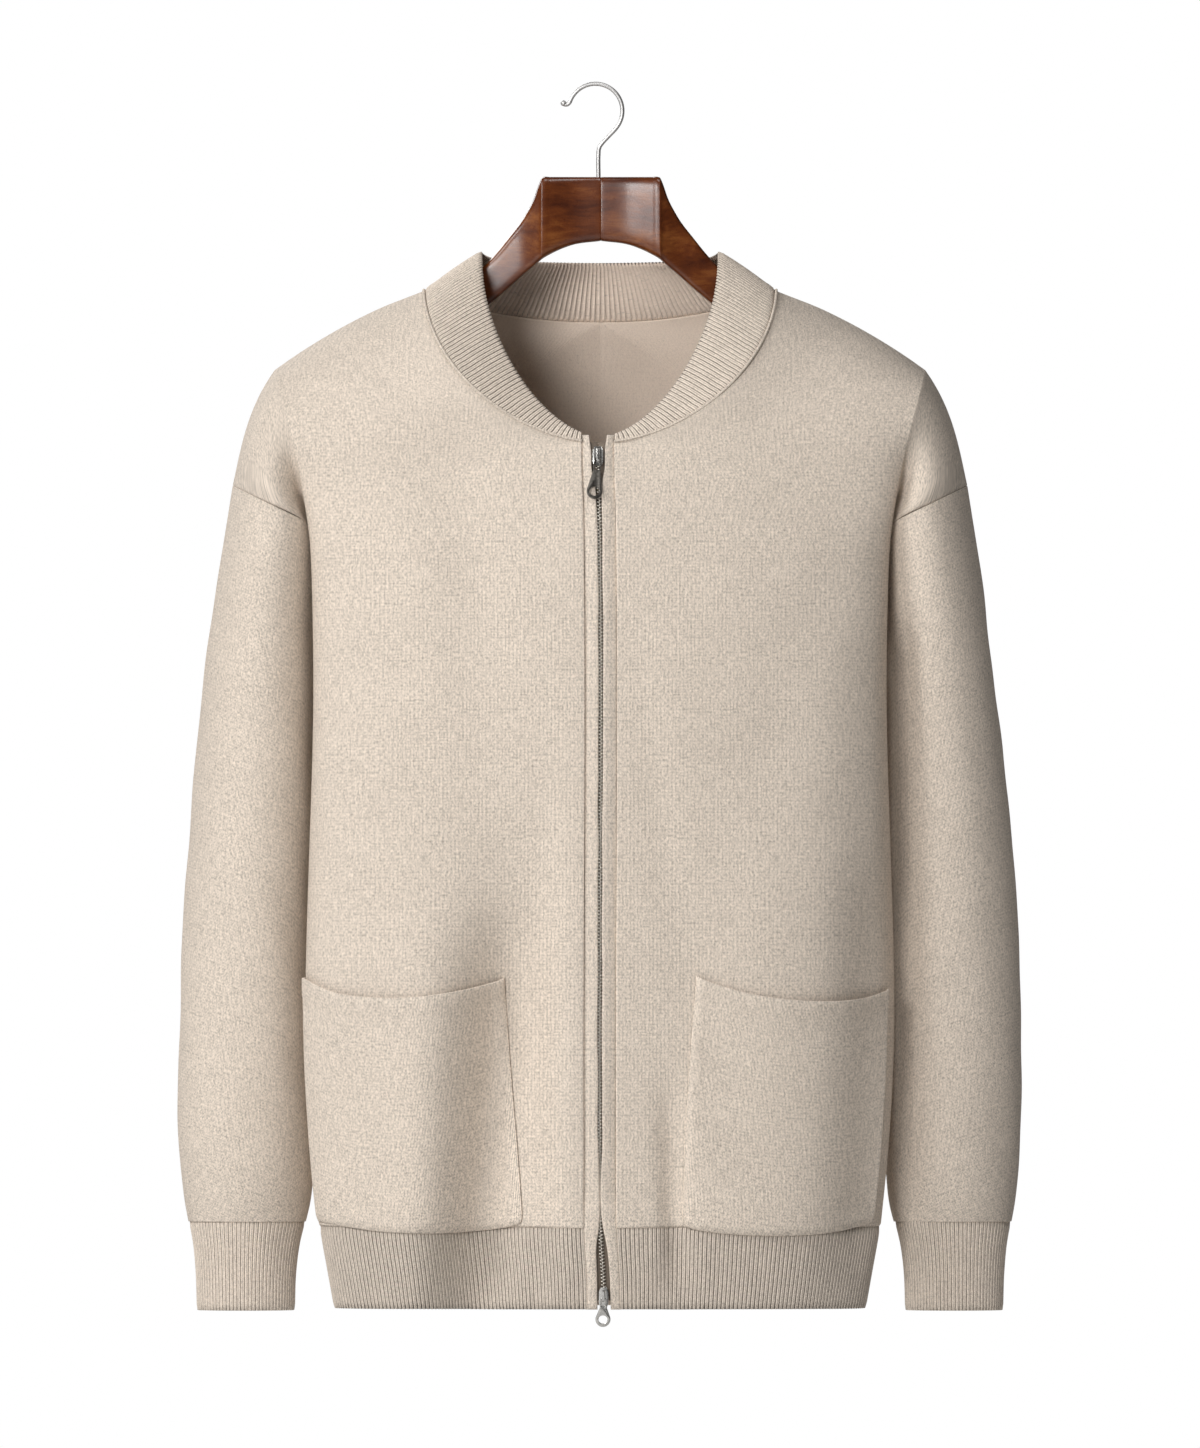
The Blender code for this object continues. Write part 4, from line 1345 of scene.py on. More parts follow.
def tube_rings(path: Array, radius: Level, sides: int, toward: object) -> Array:
    """Rings round a path: the radius times the cosine and sine of each turn, along two axes that
    stand on the path. The first axis leans as far towards a given direction as it can.

    Args:
        path: Points of the path.
        radius: One radius, or one for each point.
        sides: Points in a ring.
        toward: The direction, or one for each point.

    Returns:
        The rings.
    """
    along = np.gradient(path, axis=0)
    along /= np.maximum(np.linalg.norm(along, axis=1, keepdims=True), 1e-9)
    toward = np.broadcast_to(toward, along.shape)
    one = toward - along * np.sum(toward * along, axis=1, keepdims=True)
    one /= np.maximum(np.linalg.norm(one, axis=1, keepdims=True), 1e-9)
    two = np.cross(along, one)
    turn = np.arange(sides) * 2 * math.pi / sides
    round_it = np.cos(turn)[:, None] * one[:, None, :] + np.sin(turn)[:, None] * two[:, None, :]
    return path[:, None, :] + np.reshape(radius, (-1, 1, 1)) * round_it


def curve_through(points: Sequence[Sequence[float]], count: int) -> Array:
    """A smooth line through a few points: cubic Hermite curves over the running length.

    Args:
        points: The points.
        count: Number of points wanted.

    Returns:
        The line.
    """
    points = np.asarray(points, float)
    run = run_of(points, 0)
    table = np.concatenate((run[:, None], points), axis=1)
    at = np.linspace(0, run[-1], count)
    return np.stack([smooth(table, k, at) for k in range(1, points.shape[1] + 1)], axis=-1)


# ---- the cloth ----------------------------------------------------------------------------

HALVES = ("hanger_left", "hanger_right")

# share across, z for tops and bottoms; share down, x for inner edges
POCKETS = {
    Side.RIGHT: {
        "top": [(0, -593.2), (0.22, -601.0), (0.46, -606.4), (0.64, -606.6), (0.84, -603.0), (1, -593.4)],
        "bottom": [(0, -759.8), (0.2, -762.2), (0.45, -763.6), (0.75, -761.8), (1, -756.0)],
        "inner": [(0, 63.3), (0.4, 58.3), (0.7, 54.0), (1, 50.4)],
        "outer": 0.995,
    },
    Side.LEFT: {
        "top": [(0, -592.2), (0.13, -598.2), (0.29, -603.8), (0.44, -607.1), (0.6, -608.8)]
        + [(0.75, -608.6), (0.9, -605.6), (1, -601.3)],
        "bottom": [(0, -761.4), (0.3, -764.6), (0.6, -765.0), (0.85, -761.6), (1, -756.4)],
        "inner": [(0, 63.8), (0.31, 59.7), (0.62, 56.9), (1, 54.9)],
        "outer": 0.972,
    },
}


@dataclass(frozen=True)
class Cut:
    """The flat cut of one sewn piece, in metres, and its area in square metres."""

    width: float
    length: float
    area: float


def declare(cut: Cut, rests_on: Sequence[str]) -> None:
    """Takes a piece's flat cut and what it rests on, and does nothing with them."""
    list(rests_on)


@dataclass
class Garment:
    """The knitted pieces: panels, sleeves, ribs, pockets and front bands."""

    form: Form
    finishes: Finishes
    rib: Ribbing = Ribbing()
    thick: float = 2.4
    rib_thick: float = 2.2
    collar_thick: float = 2.6
    pocket_thick: float = 2.0
    hem_pitch: float = 2.85
    cuff_pitch: float = 2.58
    collar_pitch: float = 3.0
    seam_gap: float = 0.6
    blouse: float = 0.25
    slope: float = 2.9
    front_cut: Cut = Cut(0.26, 0.59, 0.137)
    back_cut: Cut = Cut(0.50, 0.62, 0.262)
    sleeve_cut: Cut = Cut(0.37, 0.47, 0.142)
    cuff_cut: Cut = Cut(0.28, 0.062, 0.0170)
    hem_cut: Cut = Cut(0.345, 0.056, 0.0190)
    hem_back_cut: Cut = Cut(0.61, 0.056, 0.0335)
    collar_cut: Cut = Cut(0.87, 0.046, 0.0390)
    pocket_cut: Cut = Cut(0.155, 0.165, 0.0250)
    band_cut: Cut = Cut(0.0118, 0.582, 0.0067)

    def panel(self, node: str, cut: Cut, held: str, rests_on: Sequence[str], *walls: Cloth) -> None:
        """Sews a plain knitted piece that stands for a node."""
        piece = hand_over(sew(f"{node}_knit", *walls), self.finishes.knit, Slot.KNIT, node)
        declare(cut, rests_on)

    def mirror(self, grid: Array, count: int) -> Array:
        """Brings the first column of the lower rows back to the mirror plane, where each row
        passes level: its height and depth there are those of a + b x^2 through its next two points.

        Args:
            grid: One half of a panel.
            count: How many rows start at the mirror plane.

        Returns:
            The half that meets its mirror picture without a crease.
        """
        rows = grid[:count].copy()
        rows[..., 0] -= rows[:, :1, 0] * (1 - ramp(run_of(rows, 1), 0, 40))
        near, far = rows[:, 1], rows[:, 2]
        a, b = far[:, :1] ** 2, near[:, :1] ** 2
        rows[:, 0, 1:] = ((near * a - far * b) / (a - b))[:, 1:]
        return np.concatenate((rows, grid[count:]))

    def puff(self, grid: Array, inward: int, level: float, reach: float, size: float,
             closed: bool = False) -> Array:
        """Lets cloth stand out over a rib: the size times a Gaussian of the height above the
        seam, uneven along it.

        Args:
            grid: The panel.
            inward: The sign that turns its normals into the cloth.
            level: Height of the seam.
            reach: Height over which it dies away.
            size: How far it stands out.
            closed: Whether the panel is a tube.

        Returns:
            The moved panel.
        """
        n = normals(grid, closed) * inward
        uneven = 1 + 0.3 * wobble(grid, 40, 11)
        out = size * uneven * np.exp(-(((grid[..., 2] - level) / reach) ** 2))
        return grid - n * out[..., None]

    def heights(self) -> Array:
        """Rows of a body panel below the underarm."""
        form = self.form
        return form.hem_top + (form.underarm - form.hem_top) * stops(112, True, False)

    def shares(self, table: Array, must: float) -> Array:
        """Rows of a body panel above the underarm, even along its edge, with one at a place.

        Args:
            table: FRONT_EDGE or BACK_EDGE.
            must: A share that has to be among them.

        Returns:
            Rising shares.
        """
        edge = even(stops(62, False, True)[1:],
                    lambda s: stack(*(smooth(table, k, s) for k in (1, 2, 3))))
        return np.unique(np.append(edge, must))

    def calm(self, grid: Array, size: float, apex: Array | None = None) -> Array:
        """Takes the kink out between rows: a Gaussian mean along the columns, with the ends turned
        about themselves so that they stay. It fades out to the first and the last column, or
        to a neckline's lowest point.

        Args:
            grid: The panel.
            size: Half width of the mean, in rows.
            apex: The neckline's lowest point, if the first column below it may move.

        Returns:
            The calmed panel.
        """
        reach = int(3 * size)
        weight = np.exp(-((np.arange(-reach, reach + 1) / size) ** 2) / 2)
        weight /= weight.sum()
        first = 2 * grid[:1] - grid[reach:0:-1]
        last = 2 * grid[-1:] - grid[-2:-reach - 2:-1]
        long = np.concatenate((first, grid, last))
        mean = sum(w * long[k:k + len(grid)] for k, w in enumerate(weight))
        across = run_of(grid, 1)
        start = across
        if apex is not None:
            start = np.where(grid[:, :1, 2] < apex[2], np.linalg.norm(grid - apex, axis=2), across)
        near = ramp(start, 0, 45) * ramp(across[:, -1:] - across, 0, 60)
        return grid + (mean - grid) * near[..., None]

    def fronts(self) -> None:
        """The two front panels, from the band to the side seam and the armhole."""
        form = self.form
        share = self.shares(FRONT_EDGE, form.front_turn)
        for side in Side:
            grid = form.front(side, self.heights(), share, stops(92), stops(26, False, True))
            grid = self.calm(grid, 5.0)
            uv = cut_lines(grid, grid[:, 0, 0] - form.band)
            grid = form.press(grid * (side.value, 1, 1))
            grid = self.puff(grid, -side.value, form.hem_top, 10, self.blouse)
            cloth = Cloth(grid, uv, self.thick, (0.4, 0.7, 0.8, 0.3), inward=-side.value)
            self.panel(f"front_{side.tag}", self.front_cut, "hung", HALVES, cloth)

    def backs(self) -> None:
        """The back panel: two halves of one grid, joined along the middle."""
        form = self.form
        share = self.shares(BACK_EDGE, form.back_turn)
        low = self.heights()
        half = form.back(low, share, stops(92), stops(26, False, True))
        open_rows = len(low) + int(np.sum(share < form.back_turn))
        half = self.mirror(self.calm(half, 7.0, form.neck_back(0.0)), open_rows)
        uv = cut_lines(half, half[:, 0, 0])
        walls = []
        for side in Side:
            pressed = form.press(half * (side.value, 1, 1))
            grid = self.puff(pressed, side.value, form.hem_top, 10, self.blouse)
            seam = pressed[: open_rows + 1, 0]
            out = self.blouse * np.exp(-(((seam[:, 2] - form.hem_top) / 10) ** 2))
            grid[: open_rows + 1, 0] = seam * (0, 1, 1) + stack(0.0, out, 0.0)
            walls.append(Cloth(grid, uv * (side.value, 1), self.thick, (0.4, 0.7, 0.9, 0.3),
                               open_rows=open_rows, inward=side.value))
        self.panel("back", self.back_cut, "hung", HALVES, *walls)

    def ribbed(self, name: str, grid_at: Callable[[Array], Array], inward: int, closed: bool,
               nodes: Sequence[str], cut: Cut, rests_on: Sequence[str], fade: Array,
               thick: float, rims: tuple, pitch: float) -> bpy.types.Object:
        """A ribbed piece whose ribs are spaced evenly along its middle row.

        Args:
            name: The piece's name.
            grid_at: Gives the plain grid at shares along the rows.
            inward: The sign that turns the grid's normals into the cloth.
            closed: Whether the rows are rings.
            nodes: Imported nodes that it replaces.
            cut: Its flat cut.
            rests_on: What it hangs from.
            fade: Share of the relief in each row.
            thick: Thickness of the wall.
            rims: Reach of the rounding at the first and last row and column.
            pitch: Width of one rib along its middle row.

        Returns:
            The piece.
        """
        middle = len(fade) // 2
        trial = np.linspace(0, 1, 1600)
        run = run_of(grid_at(trial)[middle], 0)
        count = int(round(run[-1] / pitch))
        phase = self.rib.phases(count)
        grid = grid_at(np.interp(phase / count, run / run[-1], trial))
        if closed:
            grid[:, -1] = grid[:, 0]
        across = np.broadcast_to(phase * self.rib.pitch, grid.shape[:2])
        uv = np.stack((across, run_of(grid, 0)), axis=-1)
        grid = self.rib.raise_on(grid, phase, inward, fade, closed)
        cloth = Cloth(grid, uv, thick, rims, closed=closed, inward=inward)
        ribs = {"hem": self.finishes.edge_rib, "cuff": self.finishes.cuff_rib}
        finish = ribs.get(name.split("_")[0], self.finishes.rib)
        piece = hand_over(sew(name, cloth), finish, Slot.RIB, *nodes)
        declare(cut, rests_on)
        return piece

    def rib_rows(self, top: float, bottom: float, drop: Array) -> Array:
        """Heights of a rib's rows, which start just below the panel's edge."""
        return top + self.seam_gap + (bottom - top - self.seam_gap) * drop

    def hems(self) -> None:
        """The hem ribs: two in front and one behind."""
        form = self.form
        drop = stops(12)
        z = self.rib_rows(form.hem_top, form.hem_bottom, drop)
        fade = 0.35 + 0.65 * ramp(drop, 0, 0.06)
        for side in Side:

            def front_at(s: Array, side: Side = side) -> Array:
                """The front hem at shares along it."""
                across, around = np.clip(s / 0.8, 0, 1), np.clip((s - 0.8) / 0.2, 0, 1)
                grid = form.lower_front(side, z, across, np.concatenate(([0.0], around)))
                whole = np.where((s < 0.8)[:, None], grid[:, : len(s)], grid[:, len(s):])
                return self.tuck(form.press(whole * (side.value, 1, 1)), side.value, drop)

            self.ribbed(f"hem_{side.tag}_rib", front_at, side.value, False, [f"hem_{side.tag}"],
                        self.hem_cut, [f"front_{side.tag}"], fade, self.rib_thick,
                        (0.9, 1.1, 0.9, 0.6), self.hem_pitch)

        def back_at(s: Array) -> Array:
            """The back hem at shares along it, from the wearer's right to their left."""
            half = np.abs(2 * s - 1)
            across, around = np.clip(half / 0.8, 0, 1), np.clip((half - 0.8) / 0.2, 0, 1)
            grid = form.lower_back(z, across, np.concatenate(([0.0], around)))
            whole = np.where((half < 0.8)[:, None], grid[:, : len(s)], grid[:, len(s):])
            whole = whole * stack(np.sign(2 * s - 1 + 1e-12), 1, 1)
            return self.tuck(form.press(whole), -1, drop)

        self.ribbed("hem_back_rib", back_at, -1, False, ["hem_back"], self.hem_back_cut, ["back"],
                    fade, self.rib_thick, (0.9, 1.1, 0.6, 0.6), self.hem_pitch)

    def tuck(self, grid: Array, inward: int, drop: Array, closed: bool = False) -> Array:
        """Draws the top of a rib in under the panel above it, by 0.35 at the seam.

        Args:
            grid: The rib.
            inward: The sign that turns its normals into the cloth.
            drop: Share of the way down of each row.
            closed: Whether it is a tube.

        Returns:
            The moved rib.
        """
        size = 0.35 * np.exp(-((drop / 0.07) ** 2))
        return grid + normals(grid, closed) * inward * size[:, None, None]

    def sleeves(self) -> None:
        """Sleeves and cuffs."""
        form = self.form
        turn = 2 * math.pi * np.linspace(0, 1, 133)
        drop = stops(13)
        z = self.rib_rows(form.cuff_top, form.cuff_bottom, drop)
        fade = 0.35 + 0.65 * ramp(drop, 0, 0.06)
        for side in Side:
            grid = form.sleeve(stops(124), turn)
            grid[:, -1] = grid[:, 0]
            uv = cut_lines(grid)
            grid = self.creased(grid * (side.value, 1, 1), side)
            grid = self.puff(grid, side.value, form.cuff_top, 9, 0.3, True)
            grid[:, -1] = grid[:, 0]
            cloth = Cloth(grid, uv, self.thick, (0.3, 0.4, 0, 0), closed=True, inward=side.value)
            self.panel(f"sleeve_{side.tag}", self.sleeve_cut, "hung", (f"front_{side.tag}", "back"),
                       cloth)

            def cuff_at(s: Array, side: Side = side) -> Array:
                """The cuff at shares round it."""
                ring = form.cuff(z, 2 * math.pi * s) * (side.value, 1, 1)
                return self.tuck(ring, side.value, drop, True)

            self.ribbed(f"cuff_{side.tag}_rib", cuff_at, side.value, True, [f"cuff_{side.tag}"],
                        self.cuff_cut, [f"sleeve_{side.tag}"], fade, self.rib_thick,
                        (0.9, 1.1, 0, 0), self.cuff_pitch)

    def creased(self, grid: Array, side: Side) -> Array:
        """Presses the body's folds and a sleeve's own slight unevenness into a sleeve. The
        unevenness moves along the normals and dies away at both seams.

        Args:
            grid: The sleeve.
            side: Its side.

        Returns:
            The moved sleeve.
        """
        n = normals(grid, True) * side.value
        z = grid[..., 2]
        calm = ramp(z, -775, -700) * ramp(-z, 300, 380)
        size = 0.9 * wobble(grid, 110, 20 + side.value) + 0.35 * wobble(grid, 44, 30 + side.value)
        moved = self.form.press(grid)
        return moved + n * (calm * size)[..., None]

    def collar(self) -> None:
        """The neckband: one rib from the zip round the neck and back to the zip."""
        form = self.form
        width = stops(15)

        def collar_at(s: Array) -> Array:
            """The neckband at shares along it, from the wearer's right."""
            way = 4 * s
            fronts = (form.collar_front(Side.RIGHT, np.clip(way, 0, 1)),
                      form.collar_front(Side.LEFT, np.clip(4 - way, 0, 1)))
            rear = form.collar_back(np.clip(np.abs(way - 2), 0, 1))
            on_front = (np.abs(way - 2) > 1)[:, None]
            sign = stack(np.where(way < 2, -1.0, 1.0), 1.0, 1.0)
            edges = [
                np.where(on_front, np.where((way < 2)[:, None], f0, f1), b) * sign
                for f0, f1, b in zip(fronts[0], fronts[1], rear)
            ]
            seam, free = edges
            out = stack(seam[:, 0], (seam[:, 1] - form.ridge_y) * 1.2, 40.0)
            out = out / np.linalg.norm(out, axis=1, keepdims=True)
            w = width[:, None, None]
            bow = 5.0 * w * (1 - w) + 0.7 * np.exp(-(((w - 0.1) / 0.08) ** 2))
            top = 4.6 * np.exp(-(((free[:, 1] - form.ridge_y) / 26) ** 2))
            top = top + 1.8 * ramp(free[:, 1], 20, 60)
            return seam + (free - seam) * w + bow * out + stack(0.0, 0.0, top) * w

        fade = 0.3 + 0.7 * ramp(width, 0.0, 0.12) * (1 - 0.55 * ramp(width, 0.9, 1.0))
        self.ribbed("collar_rib", collar_at, 1, False, ["collar"], self.collar_cut,
                    HALVES, fade, self.collar_thick, (0.8, 1.4, 0.8, 0.8), self.collar_pitch)

    def spread(self, share: Array, level: float, inner: float, outer: float) -> Array:
        """Turns shares of a superellipse's angle into shares of the width at one height.

        Args:
            share: Shares of the angle from the pocket's inner to its outer edge.
            level: The height.
            inner: The inner edge's distance from the middle.
            outer: The outer edge's share of the body's half width.

        Returns:
            Shares of the width.
        """
        bow, w = self.form.front_bow, smooth(BODY, 1, np.array([level]))
        first, last = (np.arcsin(power(v, bow / 2)) for v in (inner / w, np.array([outer])))
        x = w * power(np.sin(first + (last - first) * share), 2 / bow)
        return (x - inner) / (outer * w - inner)

    def pockets(self) -> None:
        """Patch pockets: their outline laid on the front, with a top that gapes a little."""
        form = self.form
        down, share = stops(60)[:, None], stops(56)[None, :]
        for side in Side:
            shape = POCKETS[side]
            top, low, inner = (np.array(shape[key]) for key in ("top", "bottom", "inner"))
            z_top = smooth(top, 1, self.spread(share, -600.0, inner[0, 1], shape["outer"]))
            z_low = smooth(low, 1, self.spread(share, -762.0, inner[-1, 1], shape["outer"]))
            corner = 2.4 * np.exp(-share / 0.03) * np.exp(-(1 - down) / 0.03)
            z = z_top + (z_low - z_top) * down + corner
            w = smooth(BODY, 1, z)
            x0 = smooth(inner, 1, down) + 2.4 * np.exp(-(1 - down) / 0.02)
            first, last = (np.arcsin(power(v / w, form.front_bow / 2)) for v in (x0, shape["outer"] * w))
            x = w * power(np.sin(first + (last - first) * share), 2 / form.front_bow)
            base = stack(side.value * x, form.front_depth(z, x), z)
            moved = form.press(base)
            fall, along = run_of(base, 0), run_of(base, 1)
            edge = np.minimum(np.minimum(along, along[:, -1:] - along), fall[-1:] - fall)
            plump = 1.5 * ramp(edge, 0, 5) + 1.6 + 0.6 * np.exp(-((edge - 4.0) / 2.0) ** 2)
            gape = 2.6 * np.exp(-((fall / 16) ** 2)) * np.sin(math.pi * share) ** 0.7
            hem = 0.5 * (1 - ramp(fall, 11, 13.5))
            lift = plump + gape + hem
            n = normals(moved) * side.value
            grid = moved - n * lift[..., None]
            uv = np.stack((along, -fall), axis=-1)
            cloth = Cloth(grid, uv, self.pocket_thick, (1.1, 1.0, 1.0, 1.0), inward=side.value)
            self.panel(f"pocket_{side.tag}", self.pocket_cut, "laid", [f"front_{side.tag}"], cloth)

    def bands(self) -> None:
        """The folded front bands beside the zip: a rounded flat section carried up the front."""
        form = self.form
        z = np.concatenate((np.linspace(form.hem_bottom, -720, 60),
                            np.linspace(-714, -310, 110), np.linspace(-307, form.band_top, 50)))
        turn = (np.arange(36) + 0.5) * 2 * math.pi / 36
        slope = (self.slope * (0.35 + 0.65 * ramp(z, form.hem_top - 5, form.hem_top + 30)))[:, None]
        for side in Side:
            mid, gap, face = (smooth(ZIP, 1, z), smooth(ZIP, 2, z), smooth(BODY, 2, z))
            sway = 0.30 * wobble(stack(0 * z + side.value * 40, 0, z), 30, 50 + side.value)
            x0, x1 = mid + side.value * (gap + sway), mid + side.value * (form.band + 0.8)
            c, s = np.cos(turn), np.sin(turn)
            flat = np.sign(c) * np.abs(c) ** 0.45
            tall = np.sign(s) * np.abs(s) ** 0.62
            crown = 0.35 * (1 - flat**2) - slope * (1 + flat) / 2
            x = ((x0 + x1) / 2)[:, None] + ((x1 - x0) / 2)[:, None] * flat
            rim = 1 - 0.8 * np.exp(-(np.minimum(z - z[0], z[-1] - z) / 0.8))
            mid_y = (face + 0.9)[:, None]
            y = mid_y - 1.75 * tall * rim[:, None] - crown * rim[:, None]
            rings = stack(x, y, z[:, None])
            around = run_of(np.concatenate((rings, rings[:, :1]), axis=1), 1)
            uv = np.stack((around, np.broadcast_to(z[:, None], around.shape)), axis=-1)
            piece = hand_over(sweep(f"band_{side.tag}_knit", rings, uv), self.finishes.knit,
                              Slot.KNIT, f"band_{side.tag}")
            declare(self.band_cut, [f"front_{side.tag}"])

    def neck_seam(self) -> None:
        """The raised linking row where the neckband joins the panels: a round cord whose radius
        swells with each stitch."""
        form = self.form
        for side in Side:
            s = even(np.linspace(0, 1, 900), lambda q: form.neck_front(side, q))
            front = form.neck_front(side, s)
            s = even(np.linspace(0, 1, 560), form.neck_back)
            rear = form.neck_back(s)
            path = np.concatenate((front, rear[::-1][1:])) * (side.value, 1, 1)
            out = stack(path[:, 0], (path[:, 1] - form.ridge_y) * 1.2, 55.0)
            out = out / np.linalg.norm(out, axis=1, keepdims=True)
            run = run_of(path, 0)
            path = path + out * 0.55
            swell = 0.85 + 0.22 * np.abs(np.sin(math.pi * run / 2.3))
            rings = tube_rings(path, swell, 8, out)
            piece = hand_over(sweep(f"neck_linking_{side.tag}", rings), self.finishes.knit, Slot.KNIT)

    def build(self) -> None:
        """Makes every knitted piece."""
        self.fronts()
        self.backs()
        self.sleeves()
        self.hems()
        self.collar()
        self.pockets()
        self.bands()
        self.neck_seam()


# ---- the zip ------------------------------------------------------------------------------


@dataclass
class Zip:
    """The closed zip: tapes, teeth, two sliders and their pulls."""

    finishes: Finishes
    form: Form
    pitch: float = 2.3
    top: float = -252.0
    bottom: float = -800.0
    tape_cut: Cut = Cut(0.0105, 0.570, 0.0059)

    def tapes(self) -> None:
        """The woven tapes behind the front bands: thin flat sections carried along the zip."""
        z = np.linspace(-808, -238, 220)
        for side in Side:
            mid, face = smooth(ZIP, 1, z), smooth(BODY, 2, z)
            x0, x1 = mid + side.value * 0.35, mid + side.value * (self.form.band - 0.1)
            flat = np.array((-1, -0.6, 0, 0.6, 1, 1, 0.6, 0, -0.6, -1))
            deep = np.array((3.0, 2.9, 2.9, 2.9, 3.0, 3.4, 3.5, 3.5, 3.5, 3.4))
            x = ((x0 + x1) / 2)[:, None] + ((x1 - x0) / 2)[:, None] * flat
            rings = stack(x, face[:, None] + deep, z[:, None])
            piece = hand_over(sweep(f"zip_tape_{side.tag}_weave", rings), self.finishes.tape,
                              Slot.TAPE, f"zip_tape_{side.tag}")

    def tooth(self) -> tuple[Array, Array]:
        """One tooth: an eight-sided block that narrows to a rounded front.

        Returns:
            Its points about its own middle, and its faces.
        """
        turn = (np.arange(8) + 0.5) * math.pi / 4
        ring = stack(1.15 * np.sign(np.cos(turn)) * np.abs(np.cos(turn)) ** 0.5, 0.0,
                     0.48 * np.sign(np.sin(turn)) * np.abs(np.sin(turn)) ** 0.5)
        rings = np.stack([ring * (s, 1, s) + (0, y, 0) for s, y in
                          ((0.55, -1.2), (0.9, -1.0), (1.0, -0.5), (1.0, 1.0))])
        points = np.concatenate((rings.reshape(-1, 3), ((0, -1.25, 0), (0, 1.0, 0))))
        k = np.arange(8)
        side = np.concatenate([np.stack((k, (k + 1) % 8, (k + 1) % 8 + 8, k + 8), axis=1) + 8 * r
                               for r in range(3)])
        faces = np.concatenate((side[:, [0, 1, 2]], side[:, [0, 2, 3]],
                                np.stack(((k + 1) % 8, k, np.full(8, 32)), axis=1),
                                np.stack((k + 24, (k + 1) % 8 + 24, np.full(8, 33)), axis=1)))
        faces, _ = facing_out(points, faces, None)
        return points, faces

    def teeth(self) -> None:
        """The row of teeth. They come alternately from both tapes, each slightly tilted."""
        z = np.arange(self.bottom, self.top, self.pitch / 2)
        side = np.where(np.arange(len(z)) % 2 == 0, -1.0, 1.0)
        points, faces = self.tooth()
        tilt = 0.28 * side[:, None]
        x, y, up = points[None, :, 0], points[None, :, 1], points[None, :, 2]
        place = stack(
            smooth(ZIP, 1, z)[:, None] + side[:, None] * 0.62 + x,
            smooth(BODY, 2, z)[:, None] + 1.75 + y,
            z[:, None] + up + tilt * x,
        )
        many = faces[None] + np.arange(len(z))[:, None, None] * len(points)
        piece = make_mesh("zip_teeth", place.reshape(-1, 3), many.reshape(-1, 3))
        hand_over(piece, self.finishes.teeth, Slot.METAL, "zip_chain")

    def rounded(self, node: str, width: float, finish: bpy.types.Material, body: str) -> None:
        """A copy of a small metal node with rounded edges.

        Args:
            node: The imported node.
            width: Width of the rounding.
            finish: Its material.
            body: The body that it rides on.
        """
        mesh = bpy.data.objects[node].data.copy()
        mesh.materials.clear()
        shape = bmesh.new()
        shape.from_mesh(mesh)
        bmesh.ops.remove_doubles(shape, verts=shape.verts, dist=2e-6)
        bmesh.ops.dissolve_limit(shape, angle_limit=math.radians(2), verts=shape.verts,
                                 edges=shape.edges)
        for face in shape.faces:
            face.smooth = True
        shape.to_mesh(mesh)
        shape.free()
        piece = bpy.data.objects.new(f"{node}_metal", mesh)
        bpy.context.scene.collection.objects.link(piece)
        bevel = piece.modifiers.new("rounding", "BEVEL")
        bevel.width = width * MM
        bevel.segments = 3
        bevel.limit_method = "ANGLE"
        bevel.angle_limit = math.radians(28)
        bevel.harden_normals = True
        hand_over(piece, finish, Slot.METAL, node, body=body)

    def build(self) -> None:
        """Makes the zip."""
        self.tapes()
        self.teeth()
        dark, bright = self.finishes.dark_metal, self.finishes.bright_metal
        for end in ("upper", "lower"):
            self.rounded(f"slider_{end}", 0.22, bright, "garment")
        for end, finish in (("upper", dark), ("lower", bright)):
            self.rounded(f"pull_{end}", 0.20, finish, f"{end}_pull")


# ---- the hanger ---------------------------------------------------------------------------

# distance from the middle, top, underside, front, back
ARM = np.array(
    [
        (0.0, -60.5, -103.0, -8.0, 10.0),
        (20.0, -60.5, -106.0, -9.4, 11.0),
        (34.0, -60.5, -112.0, -12.6, 12.0),
        (38.2, -60.5, -114.4, -13.6, 12.8),
        (39.6, -61.2, -115.4, -13.6, 13.0),
        (41.0, -64.2, -116.6, -12.4, 13.4),
        (44.6, -74.4, -119.9, -10.2, 14.2),
        (50.0, -85.0, -124.4, -7.6, 15.2),
        (62.0, -101.5, -135.0, -4.5, 16.5),
        (77.0, -118.8, -147.0, -2.0, 17.5),
        (95.0, -130.0, -156.5, -2.5, 18.0),
        (117.0, -141.6, -167.0, -3.0, 18.5),
        (149.0, -154.4, -178.5, -3.5, 19.0),
        (187.0, -174.6, -194.5, -3.5, 19.0),
        (203.0, -186.0, -202.0, -2.0, 17.5),
        (209.0, -192.0, -201.0, 3.0, 13.0),
    ]
)


